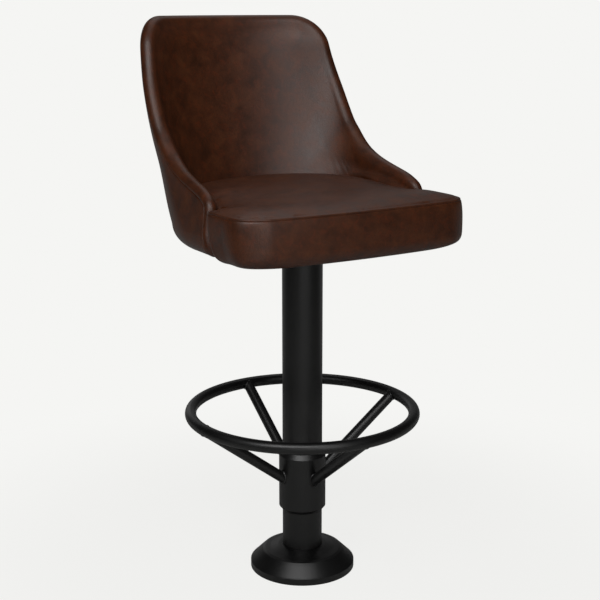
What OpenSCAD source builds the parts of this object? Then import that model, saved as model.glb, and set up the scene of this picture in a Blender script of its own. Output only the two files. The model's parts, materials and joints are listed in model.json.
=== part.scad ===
// Bolt-down bar stool with a wrap-round upholstered back and a free-turning seat.
// Millimetres, +Z up. The origin is on the floor, on the column's axis; the seat's front faces -Y.

/* [Heights] */
// Underside of the seat above the floor
seat_base_z = 644; // [600:1:690]
// Top edge of the back above the floor
back_top_z = 1050; // [960:1:1120]
// Top seam of the seat cushion above the seat's underside
seam_h = 82; // [72:1:100]
// Centre line of the foot ring above the floor
foot_ring_z = 315; // [280:1:350]

/* [Floor plate and column] */
// Diameter of the steel floor plate
floor_plate_d = 178; // [168:1:184]
// Thickness of the floor plate
floor_plate_t = 8; // [6:0.5:10]
// Diameter of the circle of anchor holes
anchor_circle_d = 140; // [126:1:150]
// Diameter of each anchor hole
anchor_hole_d = 12; // [9:0.5:14]
// Number of anchor holes
anchor_count = 4; // [3:1:6]
// Outside diameter of the column tube
column_d = 76.2; // [70:0.1:82]
// Wall of the column tube
column_wall = 3; // [2:0.1:4]
// Leg of the weld at the foot of the column
foot_weld = 5; // [3:0.5:7]

/* [Floor cover] */
// Diameter of the cover at the floor
cover_d = 201.4; // [196:0.2:216]
// Height of the cover's upright rim
cover_rim_h = 12.2; // [9:0.2:15]
// Diameter of the cover's shoulder, where the slope flattens
cover_shoulder_d = 150; // [136:1:160]
// Height of the shoulder
cover_shoulder_h = 37.5; // [34:0.5:42]
// Height of the cover's neck at the column
cover_neck_h = 44; // [43:0.5:50]
// Sheet thickness of the cover
cover_t = 1.6; // [1.2:0.1:2.4]
// Radial gap between the cover's neck and the column
cover_gap = 0.5; // [0.3:0.1:1]

/* [Foot ring] */
// Radius of the foot ring to the centre of its tube
foot_ring_r = 213; // [190:1:230]
// Diameter of the foot ring's tube
foot_tube_d = 21.6; // [18:0.1:25.4]
// Wall of the foot ring's and the struts' tubes
foot_tube_wall = 1.6; // [1.2:0.1:2.4]
// Diameter of each strut
strut_d = 20; // [16:0.5:22]
// Number of struts
strut_count = 4; // [3:1:6]
// Drop of a strut from the ring's centre line to the collar
strut_drop = 127; // [110:1:140]
// Outside diameter of the collar on the column
collar_d = 89.8; // [86:0.2:96]
// Height of the collar's lower edge above the floor
collar_z = 118; // [100:1:130]
// Length of the collar
collar_h = 120; // [108:1:130]
// Length of the taper at the collar's lower end
collar_taper_low = 7; // [4:0.5:10]
// Length of the taper at the collar's upper end
collar_taper_top = 9; // [4:0.5:12]
// Gap at the coped ends of the struts
cope_gap = 0.2; // [0.1:0.05:0.4]

/* [Swivel] */
// Diameter of the seat spindle
spindle_d = 25; // [22:0.5:28]
// Diameter of the spindle's threaded end
spindle_thread_d = 20; // [16:0.5:21]
// Length of the hub that closes the column
hub_h = 64; // [52:1:80]
// Thickness of the hub's flange and of the spindle's flange
flange_t = 6; // [5:0.5:8]
// Wall of the two bushes
bush_wall = 2.5; // [2:0.1:3.5]
// Length of each bush
bush_h = 20; // [14:1:24]
// Outside diameter of the thrust bearing's races
bearing_d = 48; // [46:0.5:54]
// Thickness of each race
race_t = 3.2; // [2.8:0.1:4]
// Diameter of the bearing's balls
ball_d = 5.6; // [5:0.1:6]
// Number of balls
ball_count = 12; // [8:1:14]
// Running clearance of the turning parts
running_gap = 0.05; // [0.03:0.01:0.08]
// End play of the spindle under the hub
end_play = 0.3; // [0.2:0.05:0.5]
// Side of the steel plate under the seat
seat_plate_w = 180; // [160:1:200]
// Thickness of the plate under the seat
seat_plate_t = 5; // [4:0.5:6]
// Distance of the four seat bolts from the plate's edges
seat_bolt_inset = 20; // [18:1:26]

/* [Seat] */
// Width of the cushion along its seam
seat_w = 490; // [450:1:520]
// Reach of the cushion's front corners ahead of the column's axis
seat_front = 194; // [180:1:215]
// Bow of the cushion's front edge
seat_bow = 17; // [5:1:25]
// Corner radius of the cushion's front
seat_corner_r = 62; // [45:1:90]
// Extra rounding of the cushion's front corners along its lower edge
low_corner = 26; // [0:1:30]
// Corner radius where the cushion's sides turn in to the back's arms
ear_r = 16; // [10:1:60]
// Pull of the cushion's sides towards the arms at the seam
side_pull = 8; // [0:1:14]
// Pull of the cushion's sides towards the arms at the board
low_pull = 20; // [8:1:24]
// Swell of the cushion's sides
side_swell = 4; // [1:0.5:7]
// Radius of the cushion's lower edge
lower_roll_r = 24; // [20:1:27]
// Height of the crown above the seam
crown_h = 15; // [8:1:22]
// Rise of the cushion's edge where it meets the back
rear_rise = 8; // [4:1:10]
// Thickness of the plywood seat board
board_t = 16.5; // [15:0.5:20]
// Thickness of the leather
leather_t = 1.5; // [1:0.1:1.8]
// Thickness of the dust cover under the seat
dust_t = 0.8; // [0.5:0.1:1.2]
// Gap between the cushion and the back
cushion_gap = 0.7; // [0.5:0.1:1]

/* [Back] */
// Inset of the back's wall at mid-height from the cushion's side seam, to the middle of the wall
back_inset = 37; // [30:1:44]
// Extra half-width at the bottom of the back
back_flare = 20; // [10:1:24]
// Distance from the column's axis to the middle of the back's wall at its foot
back_y = 211; // [200:1:230]
// Depth of the wrap at the foot, from the back to the start of the straight arms
wrap_depth = 261; // [245:1:270]
// Lean of the back over its height
back_lean = 110; // [80:1:130]
// Swell of the back's rear line
back_belly = 8; // [0:1:14]
// Front of the arms ahead of the column's axis, to the middle of the rolled edge
arm_front = 72; // [62:1:86]
// Radius of the rolled edge
rim_r = 14; // [12:0.5:16]
// Reach of the padding inside the middle of the wall
pad_in = 26; // [24:0.5:32]
// Radius of the top corners along the outside of the roll
top_corner_r = 60; // [45:1:80]
// Radius of the turn under the back's foot
foot_roll_r = 40; // [36:1:44]
// Thickness of the moulded plywood inside the back
ply_t = 12; // [9:0.5:13]
// Height of the rail that joins the back to the seat board
rail_h = 50; // [40:1:56]
// Diameter of the five back bolts
back_bolt_d = 6; // [5:0.5:8]

/* [Hidden] */

black = "#17181a";
steel = "#9aa0a6";
leather = "#3a2118";
foam = "#e6dfc4";
ply = "#c9a673";
fabric = "#202020";

// column and swivel
column_r = column_d / 2;
bore_r = column_r - column_wall;
spindle_r = spindle_d / 2;
dust_z = seat_base_z - dust_t;
seat_plate_z = dust_z - seat_plate_t;
spindle_flange_z = seat_plate_z - flange_t;
ball_lift = 0.72 * ball_d;                       // race face to race face
bearing_h = 2 * race_t + ball_lift;
bearing_z = spindle_flange_z - bearing_h;
column_top_z = bearing_z - flange_t;
hub_z = bearing_z - hub_h;
ball_ring_r = (spindle_r + bearing_d / 2) / 2;
ball_z = bearing_z + bearing_h / 2;
press_gap = 0.02;
hub_bore_r = spindle_r + running_gap + bush_wall + press_gap;
thread_z = hub_z - end_play;
seat_bolt_pitch = seat_plate_w - 2 * seat_bolt_inset;
washer_t = 3;
nut_h = 16;
nut_af = 30;
bolt_d = 8;
bolt_head_h = 5.3;
bolt_head_af = 13;
bolt_washer_t = 1.6;
bolt_hole_gap = 0.5;
tee_flange_r = 9.5;
tee_flange_t = 1.5;
tee_barrel_r = 5.2;
tee_barrel_h = 9;
fit_gap = 0.2;

// seat levels
board_low_z = seat_base_z + leather_t;
board_step_z = board_low_z + 6.5;
board_top_z = board_low_z + board_t;
seam_z = seat_base_z + seam_h;
swell_z = seat_base_z + 33;                      // widest level of the sides
seat_half_w = seat_w / 2;
roll_in = lower_roll_r - side_swell;             // centre of the lower roll inside the seam line
roll_z = seat_base_z + lower_roll_r;
turn_under = 40;                                 // leather turned in under the board

// back levels
back_half_w = seat_w / 2 - back_inset;
wrap_loss = 0.94;                                // share of the wrap's depth that is gone at the top
arm_step = 100;                                  // one turn along the straight arm
back_foot_z = seat_base_z + 4;
foot_roll_z = seat_base_z + foot_roll_r;         // where the turn under the back starts
rim_top_z = back_top_z - rim_r;
corner_z = back_top_z - top_corner_r;
cover_foot_z = board_top_z + cushion_gap;
arm_z = seam_z + 16;                             // the arms' front edge turns into their slope here
foam_rim = rim_r - leather_t;
foam_out = foam_rim;                             // outer foam face from the middle of the wall
foam_in = pad_in - leather_t;
ply_out = 8;
ply_in = ply_t - ply_out;
ply_foot_z = board_top_z + 14;
rail_gap = 1.6;
rail_out = ply_in + rail_gap;
rail_in = foam_in - 0.6;
rail_half = 0.72;                                // share of the quarter turn that the rail spans
back_bolt_turns = [-0.6, -0.3, 0, 0.3, 0.6];
back_bolt_z = board_top_z + 0.66 * rail_h;

// ---- small maths helpers
function clamp01(x) = min(1, max(0, x));
function ease(x) = let(m = clamp01(x)) m * m * (3 - 2 * m);
function unit(v) = v / norm(v);
function mirror_x(p) = [-p[0], p[1], p[2]];
function quad(a, b, c, d) = [[a, b, c], [a, c, d]];

// slope of a table at its row i, by its neighbours
function row_slope(t, i) = let(a = max(0, i - 1), b = min(len(t) - 1, i + 1))
    (t[b][1] - t[a][1]) / (t[b][0] - t[a][0]);
// smooth curve through the rows of a table of [x, y]
function curve(t, x) = let(xx = min(t[len(t) - 1][0], max(t[0][0], x)),
    i = max([for (k = [0 : len(t) - 2]) t[k][0] <= xx ? k : 0]),
    w = t[i + 1][0] - t[i][0], s = (xx - t[i][0]) / w,
    m0 = row_slope(t, i) * w, m1 = row_slope(t, i + 1) * w)
    (2 * s * s * s - 3 * s * s + 1) * t[i][1] + (s * s * s - 2 * s * s + s) * m0
    + (3 * s * s - 2 * s * s * s) * t[i + 1][1] + (s * s * s - s * s) * m1;

// ---- the back's wall, as horizontal half ellipses that shift back as they rise
// share of the way from the foot of the back to its top
function rise(z) = (z - back_foot_z) / (back_top_z - back_foot_z);
function wall_w(z) = back_half_w + (rise(z) < 0.38 ? back_flare / 2 * (1 + cos(180 * max(0, rise(z)) / 0.38)) : 0);
function wall_back(z) = back_y + back_lean * rise(z) + back_belly * sin(180 * clamp01(rise(z)));
function wall_arc(z) = back_y - wrap_depth * (1 - wrap_loss * (1 - pow(1 - clamp01(rise(z)), 2.6)));
// how far back the rolled edge lies, as a share of the way from the arms' front to the back
rim_path = [[-0.02, -0.01], [0, 0], [0.1, 0.045], [0.207, 0.067], [0.222, 0.09], [0.247, 0.16], [0.273, 0.285],
    [0.302, 0.405], [0.341, 0.505], [0.387, 0.575], [0.438, 0.63], [0.478, 0.67], [0.58, 0.725], [0.735, 0.785],
    [0.88, 0.81], [1, 0.8]];
function rim_y(z) = -arm_front + (wall_back(z) + arm_front) * curve(rim_path, rise(z));

// turn 0 is the middle of the back, 1 the start of the straight arm, then 1 per arm_step forward
function turn_of(z, y) = y >= wall_arc(z)
    ? acos(clamp01((y - wall_arc(z)) / (wall_back(z) - wall_arc(z)))) / 90 : 1 + (wall_arc(z) - y) / arm_step;
function wall_pt(z, t) = let(a = abs(t), s = sign(t))
    a <= 1 ? [s * wall_w(z) * sin(90 * a), wall_arc(z) + (wall_back(z) - wall_arc(z)) * cos(90 * a)]
           : [s * wall_w(z), wall_arc(z) - (a - 1) * arm_step];
function wall_out(z, t) = let(a = min(1, abs(t)), s = sign(t))
    unit([s * sin(90 * a) / wall_w(z), cos(90 * a) / (wall_back(z) - wall_arc(z))]);
// point of the wall at a height and a turn, moved outward by off
function wall(z, t, off) = let(p = wall_pt(z, t) + off * wall_out(z, t)) [p[0], p[1], z];

// length along the wall from the middle of the back, as rows of [turn, length]
function wall_steps(z) = let(a = wall_w(z), b = wall_back(z) - wall_arc(z), n = 16)
    [for (i = 0, l = 0; i <= n + 1; i = i + 1,
        l = l + (i > n ? 3 * arm_step : norm([a * cos(90 * (i - 0.5) / n), b * sin(90 * (i - 0.5) / n)]) * PI / 2 / n))
        [i > n ? 4 : i / n, l]];
function wall_length(z, t) = lookup(t, wall_steps(z));
function turn_at(z, length) = lookup(length, [for (r = wall_steps(z)) [r[1], r[0]]]);

// turn of the rolled edge at a height, with the top corner rounded
corner_in = top_corner_r - rim_r;
pad_blend = 58;                                  // length over which the padding reaches its full depth
function rim_turn(z) = let(t = turn_of(z, rim_y(z)), c = clamp01((z - corner_z) / corner_in))
    c <= 0 ? t : let(x = wall_w(z) * sin(90 * min(1, t)) - corner_in * (1 - sqrt(1 - c * c)))
        asin(clamp01(x / wall_w(z))) / 90;
// inner padding thickness from the middle of the wall: thin at the roll, full further in
function rim_steep(z) = 1 / norm([1, (rim_y(z + 2) - rim_y(z - 2)) / 4]);
function inner_reach(z, t, level) = let(d = (rim_length(z) - wall_length(z, abs(t))) * rim_steep(z),
    e = min(d, 1.4 * (rim_top_z - z)) / pad_blend, low = (foot_roll_z - z) / (foot_roll_z - cover_foot_z))
    level + (pad_in - rim_r) * max(ease(e), clamp01(low));

// ---- grid of the back: columns fan out from its foot to the rolled edge
cols = 32;
half_cols = cols / 2;
arm_cols = 9;
corner_cols = 3;
under_rows = 3;
rows = 9;
roll_steps = 4;
top_turn = rim_turn(rim_top_z);
// height and share of turn of the rolled edge above column k, counted from the arm's front
function rim_station(k) = k <= arm_cols ? [arm_z + (corner_z - arm_z) * pow(k / arm_cols, 1.5), 1]
    : k <= arm_cols + corner_cols ? [corner_z + corner_in * sin(90 * (k - arm_cols) / corner_cols), 1]
    : [rim_top_z, (half_cols - k) / (half_cols - arm_cols - corner_cols)];
rim_stations = [for (k = [0 : half_cols]) rim_station(k)];
function col_k(i) = min(i, cols - i);
function col_sign(i) = i <= half_cols ? 1 : -1;
function foot_share(i) = 1 - col_k(i) / half_cols;
// height of row j on column i, above the turn under the foot
function row_f(j) = pow((j - under_rows) / (rows - under_rows), 1.35);
function row_z(i, j) = foot_roll_z + (rim_stations[col_k(i)][0] - foot_roll_z) * row_f(j);
function rim_length(z) = wall_length(z, rim_turn(z));
foot_length = rim_length(foot_roll_z);
// the arm's front edge bends away from a straight column by this much
function edge_bend(f) = let(z = foot_roll_z + (arm_z - foot_roll_z) * f)
    rim_length(z) - foot_length * (1 - f) - rim_length(arm_z) * f;
function grid_turn(i, j) = let(k = col_k(i), f = row_f(j), r = rim_stations[k], z = row_z(i, j))
    col_sign(i) * turn_at(z, foot_share(i) * foot_length * (1 - f) + wall_length(r[0], r[1] * rim_turn(r[0])) * f
    + edge_bend(f) * pow(max(0, 1 - k / 4), 2));
grid_turns = [for (i = [0 : cols]) [for (j = [0 : rows]) j < under_rows ? 0 : grid_turn(i, j)]];
function low_turn(i, z, end) = col_sign(i) * turn_at(z, foot_share(i) * wall_length(z, end));
function under_angle(j) = 90 * (under_rows - j) / under_rows;
// outer face of the padding at level lift above the foam
function outer_pt(i, j, lift) = j >= under_rows
    ? wall(row_z(i, j), grid_turns[i][j], foam_out + lift)
    : let(b = under_angle(j), r = foot_roll_r - leather_t + lift, z = foot_roll_z - r * sin(b),
        t = low_turn(i, foot_roll_z, turn_of(foot_roll_z, rim_y(max(back_foot_z, z)))),
        p = wall(foot_roll_z, t, rim_r - foot_roll_r + r * cos(b))) [p[0], p[1], z];
function inner_pt(i, j, lift) = let(z = j >= under_rows ? row_z(i, j)
        : cover_foot_z + (foot_roll_z - cover_foot_z) * j / under_rows,
    t = j >= under_rows ? grid_turns[i][j] : low_turn(i, z, rim_turn(z)))
    wall(z, t, -inner_reach(z, t, foam_rim + lift));
// stations along the rolled edge: up the right arm's front, over the top, down the left
stations = [for (j = [0 : rows]) [0, j], for (i = [1 : cols]) [i, rows], for (j = [rows - 1 : -1 : 0]) [cols, j]];
last_station = len(stations) - 1;
function rim_mid(k) = (outer_pt(stations[k][0], stations[k][1], 0) + inner_pt(stations[k][0], stations[k][1], 0)) / 2;
rim_mids = [for (k = [0 : last_station]) rim_mid(k)];
function rim_dir(k) = let(along = unit(rim_mids[min(last_station, k + 1)] - rim_mids[max(0, k - 1)]),
    out = unit(outer_pt(stations[k][0], stations[k][1], 0) - inner_pt(stations[k][0], stations[k][1], 0)))
    unit(cross(out, along));
rim_dirs = [for (k = [0 : last_station]) rim_dir(k)];
// step s of the roll from the inner face (0) round to the outer face (roll_steps)
function roll_pt(k, s, lift) = let(a = stations[k], i = inner_pt(a[0], a[1], lift), o = outer_pt(a[0], a[1], lift),
    w = 180 * s / roll_steps) (i + o) / 2 + (i - o) / 2 * cos(w) + rim_dirs[k] * (foam_rim + lift) * sin(w);

function grid_pts(inner, lift) = [for (i = [0 : cols], j = [0 : rows]) inner ? inner_pt(i, j, lift) : outer_pt(i, j, lift)];
function roll_pts(from, to, lift) = [for (k = [0 : last_station], s = [from : to]) roll_pt(k, s, lift)];
function at(i, j) = i * (rows + 1) + j;
grid_n = (cols + 1) * (rows + 1);
// index of step s at station k, where the roll's points follow the inner grid's
function at_roll(k, s) = s == 0 ? at(stations[k][0], stations[k][1]) : grid_n + k * roll_steps + s - 1;
inner_quads = [for (i = [0 : cols - 1], j = [0 : rows - 1]) each quad(at(i, j), at(i, j + 1), at(i + 1, j + 1), at(i + 1, j))];
outer_quads = [for (f = inner_quads) [f[2], f[1], f[0]]];
roll_quads = [for (k = [0 : last_station - 1], s = [0 : roll_steps - 1])
    each quad(at_roll(k, s), at_roll(k, s + 1), at_roll(k + 1, s + 1), at_roll(k + 1, s))];

// closed sheet between two sets of points with the same triangles, walled along the edge loop
module sheet(front, rear, tris, edge, turned = false) {
    n = len(front);
    m = len(edge);
    polyhedron(points = concat(front, rear), faces = [
        for (f = tris) f,
        for (f = tris) [f[2] + n, f[1] + n, f[0] + n],
        for (e = [0 : m - 1]) let(a = edge[e], b = edge[(e + 1) % m])
            each turned ? quad(a, a + n, b + n, b) : quad(b, a, a + n, b + n)]);
}

// solid skinned over sections with equal, even counts of points, closed at its ends by strips
module loft(sections) {
    k = len(sections[0]);
    n = len(sections);
    e = (n - 1) * k;
    polyhedron(points = [for (s = sections) each s], faces = [
        for (i = [0 : n - 2], j = [0 : k - 1]) let(j2 = (j + 1) % k)
            each quad(i * k + j, (i + 1) * k + j, (i + 1) * k + j2, i * k + j2),
        for (j = [0 : k / 2 - 2]) each quad(j, j + 1, k - 2 - j, k - 1 - j),
        for (j = [0 : k / 2 - 2]) each quad(e + k - 1 - j, e + k - 2 - j, e + j + 1, e + j)]);
}

// ---- plan of the seat: front, corner, side and ear, then along the inside of the back
ear_end = 13;                                    // last point before the inner corner
plan_n = 25;
function notch_y(z) = rim_y(z) - rim_r - cushion_gap;
// the ear's rear doesn't swell towards the arm, so its offset leaves the side's swell out
function rear_off(z, off) = off - side_off(max(z, swell_z));
// how far the sides pull in towards the arms, more so lower down
function pull(k, z) = let(s = clamp01((k - 5.5) / 4), low = clamp01((seam_z - z) / (seam_z - board_top_z)))
    s * s * (3 - 2 * s) * (side_pull + (low_pull - side_pull) * pow(low, 1.5));
// where the ear meets the arm, kept outside the padded inner face
function notch_x(z, off) = min(seat_half_w + off - pull(9.5, z) - 2,
    max(wall_w(z) - inner_reach(z, rim_turn(z), rim_r) - cushion_gap + rear_off(z, off),
        wall_w(z) - pad_in - cushion_gap));
function front_pt(k, z, off) = let(w = seat_half_w + off, f = seat_front + off, ny = notch_y(z) + rear_off(z, off),
    more = low_corner * clamp01((-off - 2) / 12),
    r0 = max(4, seat_corner_r + off + more / 2), e0 = max(4, ear_r + off / 2), fit = min(1, (f + ny - 2) / (r0 + e0)),
    r = r0 * fit, er = e0 * fit,                 // the two radii share the side between them
    ex = min(er, w - pull(k, z) - notch_x(z, off) - 1),
    rx = r + more,
    p = k <= 3 ? [(w - rx) * k / 3, -f]
        : k <= 9 ? let(a = 15 * (k - 3)) [w - rx + rx * sin(a), -f + r - r * cos(a)]
        : let(a = 30 * (k - 10)) [w - ex + ex * cos(a), ny - er + er * sin(a)])
    [p[0] - pull(k, z), p[1] - (k <= 9 ? seat_bow * (1 - pow(min(1, p[0] / seat_half_w), 2)) : 0)];
function rear_pt(k, z, off) = let(t = rim_turn(z) * (1 - (k - ear_end - 2) / (plan_n - ear_end - 2)))
    wall_pt(z, t) - (inner_reach(z, t, rim_r) + cushion_gap - off) * wall_out(z, t);
function plan_pt(k, z, off, rear) = k <= ear_end ? front_pt(k, z, off)
    : k == ear_end + 1 ? [notch_x(z, off), notch_y(z) + rear_off(z, off)] : rear_pt(k, z, rear);
// height share of a point between the front level and the rear level
function rear_share(k) = let(s = clamp01((k - ear_end - 1) / 5)) s * s * (3 - 2 * s);
// loop of the seat's plan: front level zf, rear level zr, offsets of the front and the rear
function plan_half(zf, zr, off, rear) = [for (k = [0 : plan_n]) let(z = zf + (zr - zf) * rear_share(k),
    p = plan_pt(k, z, off, rear)) [p[0], p[1], z]];
function full_loop(h) = concat(h, [for (k = [plan_n - 1 : -1 : 1]) mirror_x(h[k])]);
function plan_loop(zf, zr, off, rear) = full_loop(plan_half(zf, zr, off, rear));
// front path only, from the left inner corner round the front to the right one
function front_path(z, off) = let(h = plan_half(z, z, off, off))
    [for (k = [ear_end + 1 : -1 : 1]) mirror_x(h[k]), for (k = [0 : ear_end + 1]) h[k]];

// side of the cushion: offset from the seam line at a level, and the lower roll
function side_off(z) = side_swell * (1 - pow((z - swell_z) / (seam_z - swell_z), 2));
crown_y = notch_y(seam_z) - 3;
function crown_pt(p, s, drop) = let(zz = p[2] - drop) [p[0] * s, crown_y + (p[1] - crown_y) * s,
    zz + (seam_z + crown_h - drop - zz) * pow(max(0, 1 - s * s), 0.6)];
crown_steps = [0.95, 0.86, 0.7, 0.42];
mid_side_z = (swell_z + seam_z) / 2;
edge_outer = plan_loop(seam_z, seam_z + rear_rise, 0, 0);
edge_foam = plan_loop(seam_z, seam_z + rear_rise, -leather_t, 0);
function lower(loop, d) = [for (p = loop) [p[0], p[1], p[2] - d]];
function crown_loops(edge, drop) = [for (s = crown_steps) [for (p = edge) crown_pt(p, s, drop)]];
loop_n = len(edge_outer);

// solid closed by fans at the first and the last loop
module stack(loops, first, last) {
    n = len(loops);
    k = loop_n;
    polyhedron(points = concat([for (l = loops) each l], [first, last]), faces = [
        for (i = [0 : n - 2], j = [0 : k - 1]) let(j2 = (j + 1) % k)
            each quad(i * k + j, (i + 1) * k + j, (i + 1) * k + j2, i * k + j2),
        for (j = [0 : k - 1]) [n * k, j, (j + 1) % k],
        for (j = [0 : k - 1]) [n * k + 1, (n - 1) * k + (j + 1) % k, (n - 1) * k + j]]);
}

module ring(r_out, r_in, h) {
    difference() {
        cylinder(r = r_out, h = h, $fn = 96);
        translate([0, 0, -1]) cylinder(r = r_in, h = h + 2, $fn = 96);
    }
}

module hex(af, h) {
    cylinder(r = af / 2 / cos(30), h = h, $fn = 6);
}

// ---- floor plate, column and foot ring
module floor_plate() color(steel) difference() {
    cylinder(d = floor_plate_d, h = floor_plate_t, $fn = 128);
    for (i = [0 : anchor_count - 1]) rotate([0, 0, 45 + 360 * i / anchor_count])
        translate([anchor_circle_d / 2, 0, -1]) cylinder(d = anchor_hole_d, h = floor_plate_t + 2, $fn = 48);
}

module column_tube() color(black) translate([0, 0, floor_plate_t])
    ring(column_r, bore_r, column_top_z - floor_plate_t);

module foot_weld_bead() color(black) rotate_extrude($fn = 96)
    polygon([[column_r, floor_plate_t], [column_r + foot_weld, floor_plate_t], [column_r, floor_plate_t + foot_weld]]);

module collar() color(black) {
    ri = column_r + fit_gap;
    ro = collar_d / 2;
    rotate_extrude($fn = 96) polygon([[ri, collar_z], [ri + 0.8, collar_z], [ro, collar_z + collar_taper_low],
        [ro, collar_z + collar_h - collar_taper_top], [ri + 0.8, collar_z + collar_h], [ri, collar_z + collar_h]]);
}

module foot_tube(extra) {
    translate([0, 0, foot_ring_z]) rotate_extrude($fn = 128)
        translate([foot_ring_r, 0]) circle(d = foot_tube_d + 2 * extra, $fn = 48);
}

module foot_ring() color(black) difference() {
    foot_tube(0);
    foot_tube(-foot_tube_wall);
}

module foot_ring_struts() color(black) {
    start_z = foot_ring_z - strut_drop;
    run = foot_ring_r - collar_d / 2;
    slope = atan2(strut_drop, run);
    for (i = [0 : strut_count - 1]) rotate([0, 0, 360 * i / strut_count]) difference() {
        translate([collar_d / 2, 0, start_z]) rotate([0, 90 - slope, 0]) translate([0, 0, -strut_d])
            difference() {
                cylinder(d = strut_d, h = norm([run, strut_drop]) + strut_d, $fn = 48);
                translate([0, 0, -1]) cylinder(d = strut_d - 2 * foot_tube_wall, h = norm([run, strut_drop]) + strut_d + 2, $fn = 48);
            }
        translate([0, 0, start_z - 60]) cylinder(r = collar_d / 2 + cope_gap, h = 140, $fn = 96);
        foot_tube(cope_gap);
    }
}

module floor_cover() color(black) {
    ro = cover_d / 2;
    rs = cover_shoulder_d / 2;
    rn = column_r + cover_gap;
    t = cover_t;
    nose = 7;                                    // rounding of the shoulder
    outer = [[ro, 0], [ro, cover_rim_h], [ro - 1.6, cover_rim_h + 1.4],
        [rs + nose, cover_shoulder_h - nose], [rs + 2.4, cover_shoulder_h - 2.6], [rs - 3, cover_shoulder_h - 0.4],
        [rs - 13, cover_shoulder_h + 1.3], [rn + 8, cover_neck_h - 1.2], [rn, cover_neck_h]];
    inner = [[rn, cover_neck_h - t], [rn + 8, cover_neck_h - 1.2 - t], [rs - 13, cover_shoulder_h + 1.3 - t],
        [rs - 3.4, cover_shoulder_h - 0.4 - t], [rs + 1.2, cover_shoulder_h - 2.6 - t],
        [rs + nose - t, cover_shoulder_h - nose - 0.7 * t], [ro - 1.6 - t, cover_rim_h + 1.4 - 0.7 * t],
        [ro - t, cover_rim_h - 0.7 * t], [ro - t, 0]];
    rotate_extrude($fn = 128) polygon(concat(outer, inner));
}

// ---- swivel
module bearing_hub() color(steel) difference() {
    union() {
        translate([0, 0, hub_z]) cylinder(r = bore_r - press_gap, h = hub_h, $fn = 96);
        translate([0, 0, column_top_z]) cylinder(r = column_r, h = flange_t, $fn = 96);
    }
    translate([0, 0, hub_z - 1]) cylinder(r = hub_bore_r, h = hub_h + 2, $fn = 64);
}

module bush() ring(hub_bore_r - press_gap, spindle_r + running_gap, bush_h);

module upper_bush() color("#b08d57") translate([0, 0, bearing_z - bush_h]) bush();

module lower_bush() color("#b08d57") translate([0, 0, hub_z]) bush();

module ball_track() {
    translate([0, 0, ball_z]) rotate_extrude($fn = 96) translate([ball_ring_r, 0])
        circle(r = ball_d / 2 + running_gap, $fn = 48);
}

module lower_race() color(steel) difference() {
    translate([0, 0, bearing_z]) ring(bearing_d / 2, spindle_r + 0.5, race_t);
    ball_track();
}

module upper_race() color(steel) difference() {
    translate([0, 0, bearing_z + bearing_h - race_t]) ring(bearing_d / 2, spindle_r + press_gap, race_t);
    ball_track();
}

module bearing_balls() color(steel) for (i = [0 : ball_count - 1]) rotate([0, 0, 360 * i / ball_count])
    translate([ball_ring_r, 0, ball_z]) sphere(d = ball_d, $fn = 32);

module ball_cage() color("#b08d57") difference() {
    translate([0, 0, ball_z - 1]) ring(ball_ring_r + 3.9, ball_ring_r - 3.9, 2);
    for (i = [0 : ball_count - 1]) rotate([0, 0, 360 * i / ball_count])
        translate([ball_ring_r, 0, ball_z - 2]) cylinder(r = ball_d / 2 + 0.15, h = 4, $fn = 32);
}

module spindle() color(steel) {
    difference() {
        union() {
            translate([0, 0, thread_z]) cylinder(r = spindle_r, h = seat_plate_z + seat_plate_t - fit_gap - thread_z, $fn = 64);
            translate([0, 0, spindle_flange_z]) cylinder(r = bearing_d / 2 + 8, h = flange_t, $fn = 96);
            translate([0, 0, thread_z - washer_t - nut_h - 4]) cylinder(d = spindle_thread_d, h = washer_t + nut_h + 5, $fn = 64);
        }
    }
}

module spindle_washer() color(steel) translate([0, 0, thread_z - washer_t])
    ring(hub_bore_r + 6, spindle_thread_d / 2 + fit_gap, washer_t);

module spindle_nut() color(steel) translate([0, 0, thread_z - washer_t - nut_h]) difference() {
    hex(nut_af, nut_h);
    translate([0, 0, -1]) cylinder(r = spindle_thread_d / 2 + press_gap, h = nut_h + 2, $fn = 64);
}

module at_seat_bolts() {
    for (x = [-1, 1], y = [-1, 1]) translate([x * seat_bolt_pitch / 2, y * seat_bolt_pitch / 2, 0]) children();
}

module seat_plate() color(black) translate([0, 0, seat_plate_z]) difference() {
    h = seat_plate_w / 2;
    c = 1.2 * seat_bolt_inset;                   // clipped corners
    linear_extrude(seat_plate_t) polygon([[h, c - h], [h, h - c], [h - c, h], [c - h, h],
        [-h, h - c], [-h, c - h], [c - h, -h], [h - c, -h]]);
    translate([0, 0, -1]) cylinder(r = spindle_r + press_gap, h = seat_plate_t + 2, $fn = 64);
    at_seat_bolts() translate([0, 0, -1]) cylinder(d = bolt_d + 2 * bolt_hole_gap, h = seat_plate_t + 2, $fn = 48);
}

module seat_bolt_washers() color(steel) at_seat_bolts() translate([0, 0, seat_plate_z - bolt_washer_t])
    ring(bolt_d, bolt_d / 2 + fit_gap, bolt_washer_t);

module seat_bolts() color(steel) at_seat_bolts() {
    z = seat_plate_z - bolt_washer_t;
    translate([0, 0, z - bolt_head_h]) hex(bolt_head_af, bolt_head_h);
    translate([0, 0, z - 0.5]) cylinder(d = bolt_d, h = board_top_z - 2 - z, $fn = 48);
}

module seat_tee_nuts() color(steel) at_seat_bolts() difference() {
    union() {
        translate([0, 0, board_top_z - tee_flange_t - 0.1]) cylinder(r = tee_flange_r, h = tee_flange_t, $fn = 48);
        translate([0, 0, board_top_z - tee_flange_t - tee_barrel_h]) cylinder(r = tee_barrel_r, h = tee_barrel_h, $fn = 48);
    }
    translate([0, 0, board_top_z - 30]) cylinder(r = bolt_d / 2 + press_gap, h = 40, $fn = 48);
}

// ---- seat
module plan_slab(z, h, off, rear) {
    linear_extrude(h) polygon([for (p = plan_loop(z, z, off, rear)) [p[0], p[1]]]);
}

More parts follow.
